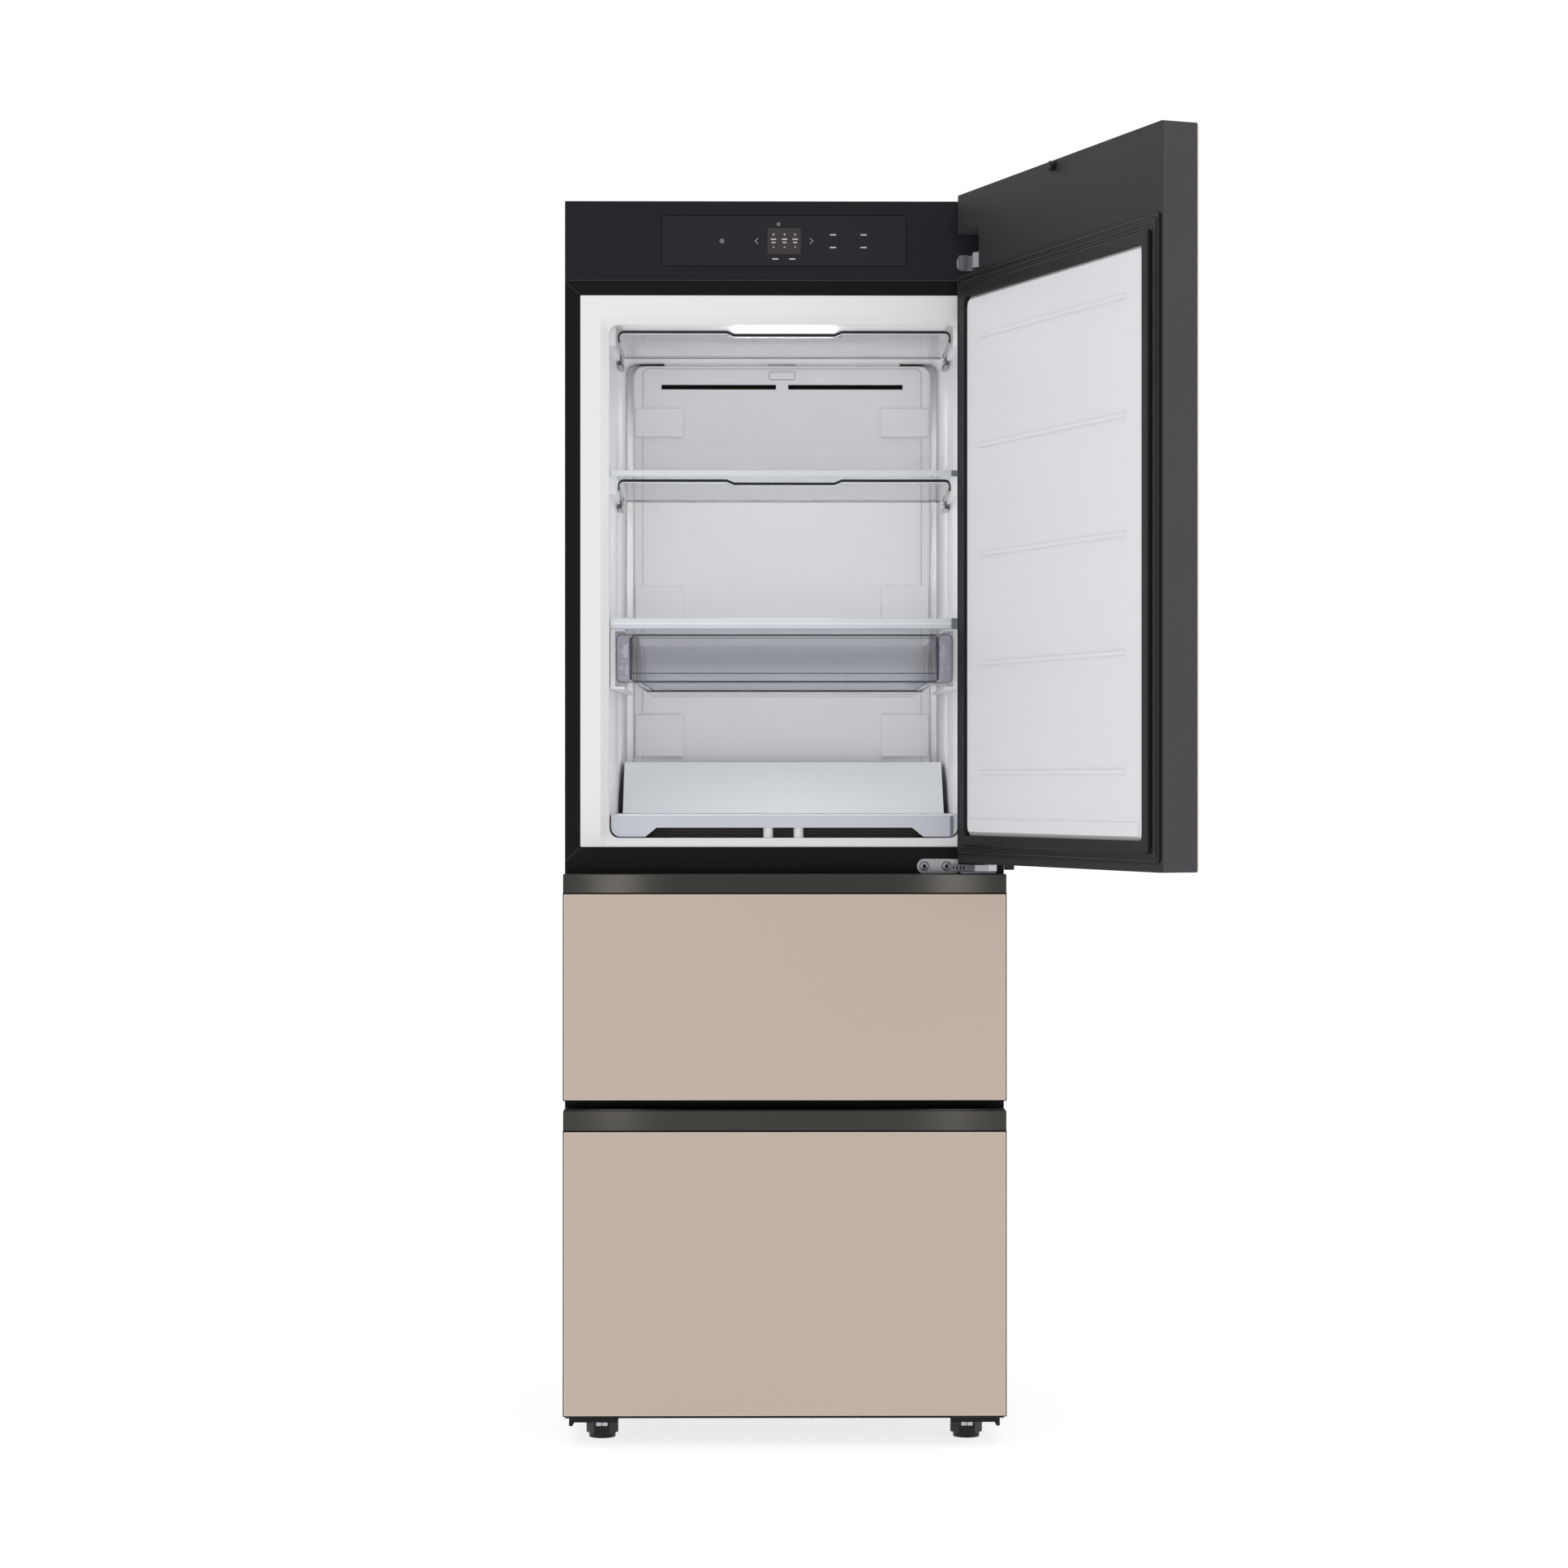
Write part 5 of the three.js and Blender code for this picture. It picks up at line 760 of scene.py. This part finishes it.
# ------------------------------------------------------------------ drawer fronts
for level, (bottom, top) in DRAWER_FRONTS.items():
    body = "drawer_" + level
    frame_line(body + "_border", "dark seam", body,
               [ring(-329.9, 329.9, bottom - 1, top + 0.2, 2.4, 1.5)], -0.1, 2.6)
    # a lighter line just inside each front's dark border: painted highlight on its edge
    frame_line(body + "_edge", "painted highlight beige", body,
               [ring(-328.3, 328.3, bottom + 0.6, top - 1.4, 2.0, 0.9)], -0.08, 0.5)

# ------------------------------------------------------------------ back
SIDE_SCREW_X, SIDE_SCREW_Z, SIDE_SCREW_STEP, SIDE_SCREWS = 318, 290, 256, 7
LOUVRE_X, LOUVRE_Z, LOUVRE_STEP, LOUVRES = 150, 69.6, 18, 9


def back_screws(name, first, step, count):
    """A row of screws on the back; first and step are (x, z)."""
    screw_heads.grow(name, "zinc", "cabinet", "grey_steel", facing(BACK_Y, side=-1), radius=4.6,
                     dome=1.8, first=(*first, 0), step=(*step, 0), count=count)


for where, side in (("left", -1), ("right", 1)):
    back_screws("rear_screws_" + where, (side * SIDE_SCREW_X, SIDE_SCREW_Z),
                (0, SIDE_SCREW_STEP), SIDE_SCREWS)
    screw_stars.grow("rear_screw_stars_" + where, "dark seam", "cabinet", "black_plastic",
                     facing(BACK_Y + 1.35, side=-1), radius=1.9,
                     first=(side * SIDE_SCREW_X, SIDE_SCREW_Z, 0),
                     step=(0, SIDE_SCREW_STEP, 0), count=SIDE_SCREWS)
    bar_row.grow("louvre_hoods_" + where, "grey steel", "cabinet", "grey_steel",
                 facing(BACK_Y + 0.4, side=-1), length=236, radius=2.0,
                 first=(side * LOUVRE_X, LOUVRE_Z, 0), step=(0, LOUVRE_STEP, 0), count=LOUVRES)
back_screws("rear_screws_top", (-212, 1846), (212, 0), 3)
back_screws("cover_screws", (-310, 246), (206.67, 0), 4)

# ------------------------------------------------------------------ stage and studio
FLOOR = [(-40, -40, 0), (40, -40, 0), (40, 60, 0), (-40, 60, 0)]  # metres
stage_mesh = bpy.data.meshes.new("floor")
stage_mesh.from_pydata(FLOOR, [], [(0, 1, 2, 3)])
floor = bpy.data.objects.new("floor", stage_mesh)
floor.data.materials.append(finish("floor pale", (150, 150, 150), 0.9, mottle=0.004, cloud=1.0,
                                   grain=0.0, Emission_Color=(1, 1, 1, 1), Emission_Strength=0.8,
                                   Specular_IOR_Level=0.0))
bpy.context.scene.collection.objects.link(floor)

# white studio walls all round, with a dim patch behind the camera that glossy faces mirror
PATCH_EDGE, PATCH_FULL, PATCH_LIGHT = 38, 20, 0.25  # degrees from its middle, and its light
world = bpy.data.worlds.new("studio")
bpy.context.scene.world = world
world.use_nodes = True
tree = world.node_tree
tree.nodes.clear()
sky_out = tree.nodes.new("ShaderNodeOutputWorld")
walls = tree.nodes.new("ShaderNodeBackground")
walls.inputs["Color"].default_value = (1, 1, 1, 1)
ramp = tree.nodes.new("ShaderNodeMapRange")
ramp.interpolation_type = "SMOOTHSTEP"
ramp.inputs["From Min"].default_value = math.cos(math.radians(PATCH_EDGE))
ramp.inputs["From Max"].default_value = math.cos(math.radians(PATCH_FULL))
ramp.inputs["To Min"].default_value = 1.0
ramp.inputs["To Max"].default_value = PATCH_LIGHT
towards = tree.nodes.new("ShaderNodeVectorMath")
towards.operation = "DOT_PRODUCT"
towards.inputs[1].default_value = (0, -1, 0)
tree.links.new(tree.nodes.new("ShaderNodeTexCoord").outputs["Generated"], towards.inputs[0])
tree.links.new(towards.outputs["Value"], ramp.inputs["Value"])
tree.links.new(ramp.outputs[0], walls.inputs["Strength"])
tree.links.new(walls.outputs[0], sky_out.inputs[0])


# ------------------------------------------------------------------ lamps
def softbox(name, where, aim, size, power, mirrored=False, fan=180):
    """A rectangular lamp of size metres and power watts that looks at aim; fan is how wide it
    shines, in degrees."""
    lamp = bpy.data.lights.new(name, "AREA")
    lamp.shape = "RECTANGLE"
    lamp.size, lamp.size_y = size
    lamp.energy = power
    lamp.spread = math.radians(fan)
    box = bpy.data.objects.new(name, lamp)
    box.location = place(*where)
    box.rotation_euler = (place(*aim) - place(*where)).to_track_quat("-Z", "Y").to_euler()
    box.visible_camera = False
    box.visible_glossy = mirrored
    bpy.context.scene.collection.objects.link(box)
    return box


CLEAR = ["shelf_upper", "shelf_lower", "flap_upper", "flap_lower", "tray"]
for name in CLEAR:
    nodes[name].visible_shadow = False

# the clear pieces cast no shadow in the linked lamps; these do
OPAQUE = bpy.data.collections.new("opaque_inside")
for name in ("upper_liner", "duct_cover", "sensor_cover", "tray_rail_left", "tray_rail_right",
             "shelf_trim", "bottom_deck", "cooling_plate", "led_lens"):
    OPAQUE.objects.link(nodes[name])


def lights_only(lamp, names):
    """Keeps that lamp's light to these pieces."""
    lit = bpy.data.collections.new(lamp.name + "_receivers")
    lamp.light_linking.receiver_collection = lit
    for name in names:
        lit.objects.link(nodes[name])
    lamp.light_linking.blocker_collection = OPAQUE


INSIDE = ["upper_liner", "duct_cover", "sensor_cover", "cooling_plate", "tray_rail_left",
          "tray_rail_right"] + CLEAR
LINER = ["upper_liner"]
HANDLES = ["drawer_upper_handle", "drawer_lower_handle"]
TROUGH_X, TROUGH_FAN = 246, 60

softbox("front_fill", (0, -7500, 1500), (0, 0, 1000), (3, 3), 60)
for name, where, aim, size, power, pieces in (
        ("space_fill", (0, 84, 1230), (0, 600, 1210), (0.44, 0.56), 1.15, INSIDE),
        ("ceiling_fill", (0, 400, 1490), (0, 420, 1677), (0.4, 0.3), 0.3, LINER),
        ("mouth_fill", (0, 108, 1673), (0, 108, 1700), (0.49, 0.05), 0.04, LINER),
        ("back_fill", (0, 250, 1230), (0, 600, 1230), (0.42, 0.3), 0.24, ["duct_cover"]),
        ("plate_fill", (0, 150, 1060), (0, 420, 960), (0.42, 0.1), 0.02, ["cooling_plate"])):
    lights_only(softbox(name, where, aim, size, power), pieces)
for name, side in (("trough_fill_left", -1), ("trough_fill_right", 1)):
    lights_only(softbox(name, (side * TROUGH_X, 330, 1300), (side * TROUGH_X, 600, 1300),
                        (0.02, 0.6), 0.16, fan=TROUGH_FAN), LINER)
lights_only(softbox("space_lamp", (0, 121, 1668), (0, 150, 1000), (0.15, 0.03), 0.2), INSIDE)
for name, where, aim in (("strip_left", (-487, -6000, 800), (-252, 0, 860)),
                         ("strip_right", (580, -6000, 800), (251, 0, 860))):
    lights_only(softbox(name, where, aim, (0.12, 1.6), 2.8, mirrored=True), HANDLES)

# ------------------------------------------------------------------ camera
CAMERA_AT, CAMERA_YAW, LENS, SENSOR = (-42.5, -5336, 985.4), -0.443, 82.47, 36
camera = bpy.data.cameras.new("camera")
camera.lens = LENS
camera.sensor_width = SENSOR
view = bpy.data.objects.new("camera", camera)
view.location = place(*CAMERA_AT)
view.rotation_euler = (math.radians(90), 0, math.radians(CAMERA_YAW))
bpy.context.scene.collection.objects.link(view)
bpy.context.scene.camera = view
bpy.context.scene.view_settings.view_transform = "Standard"
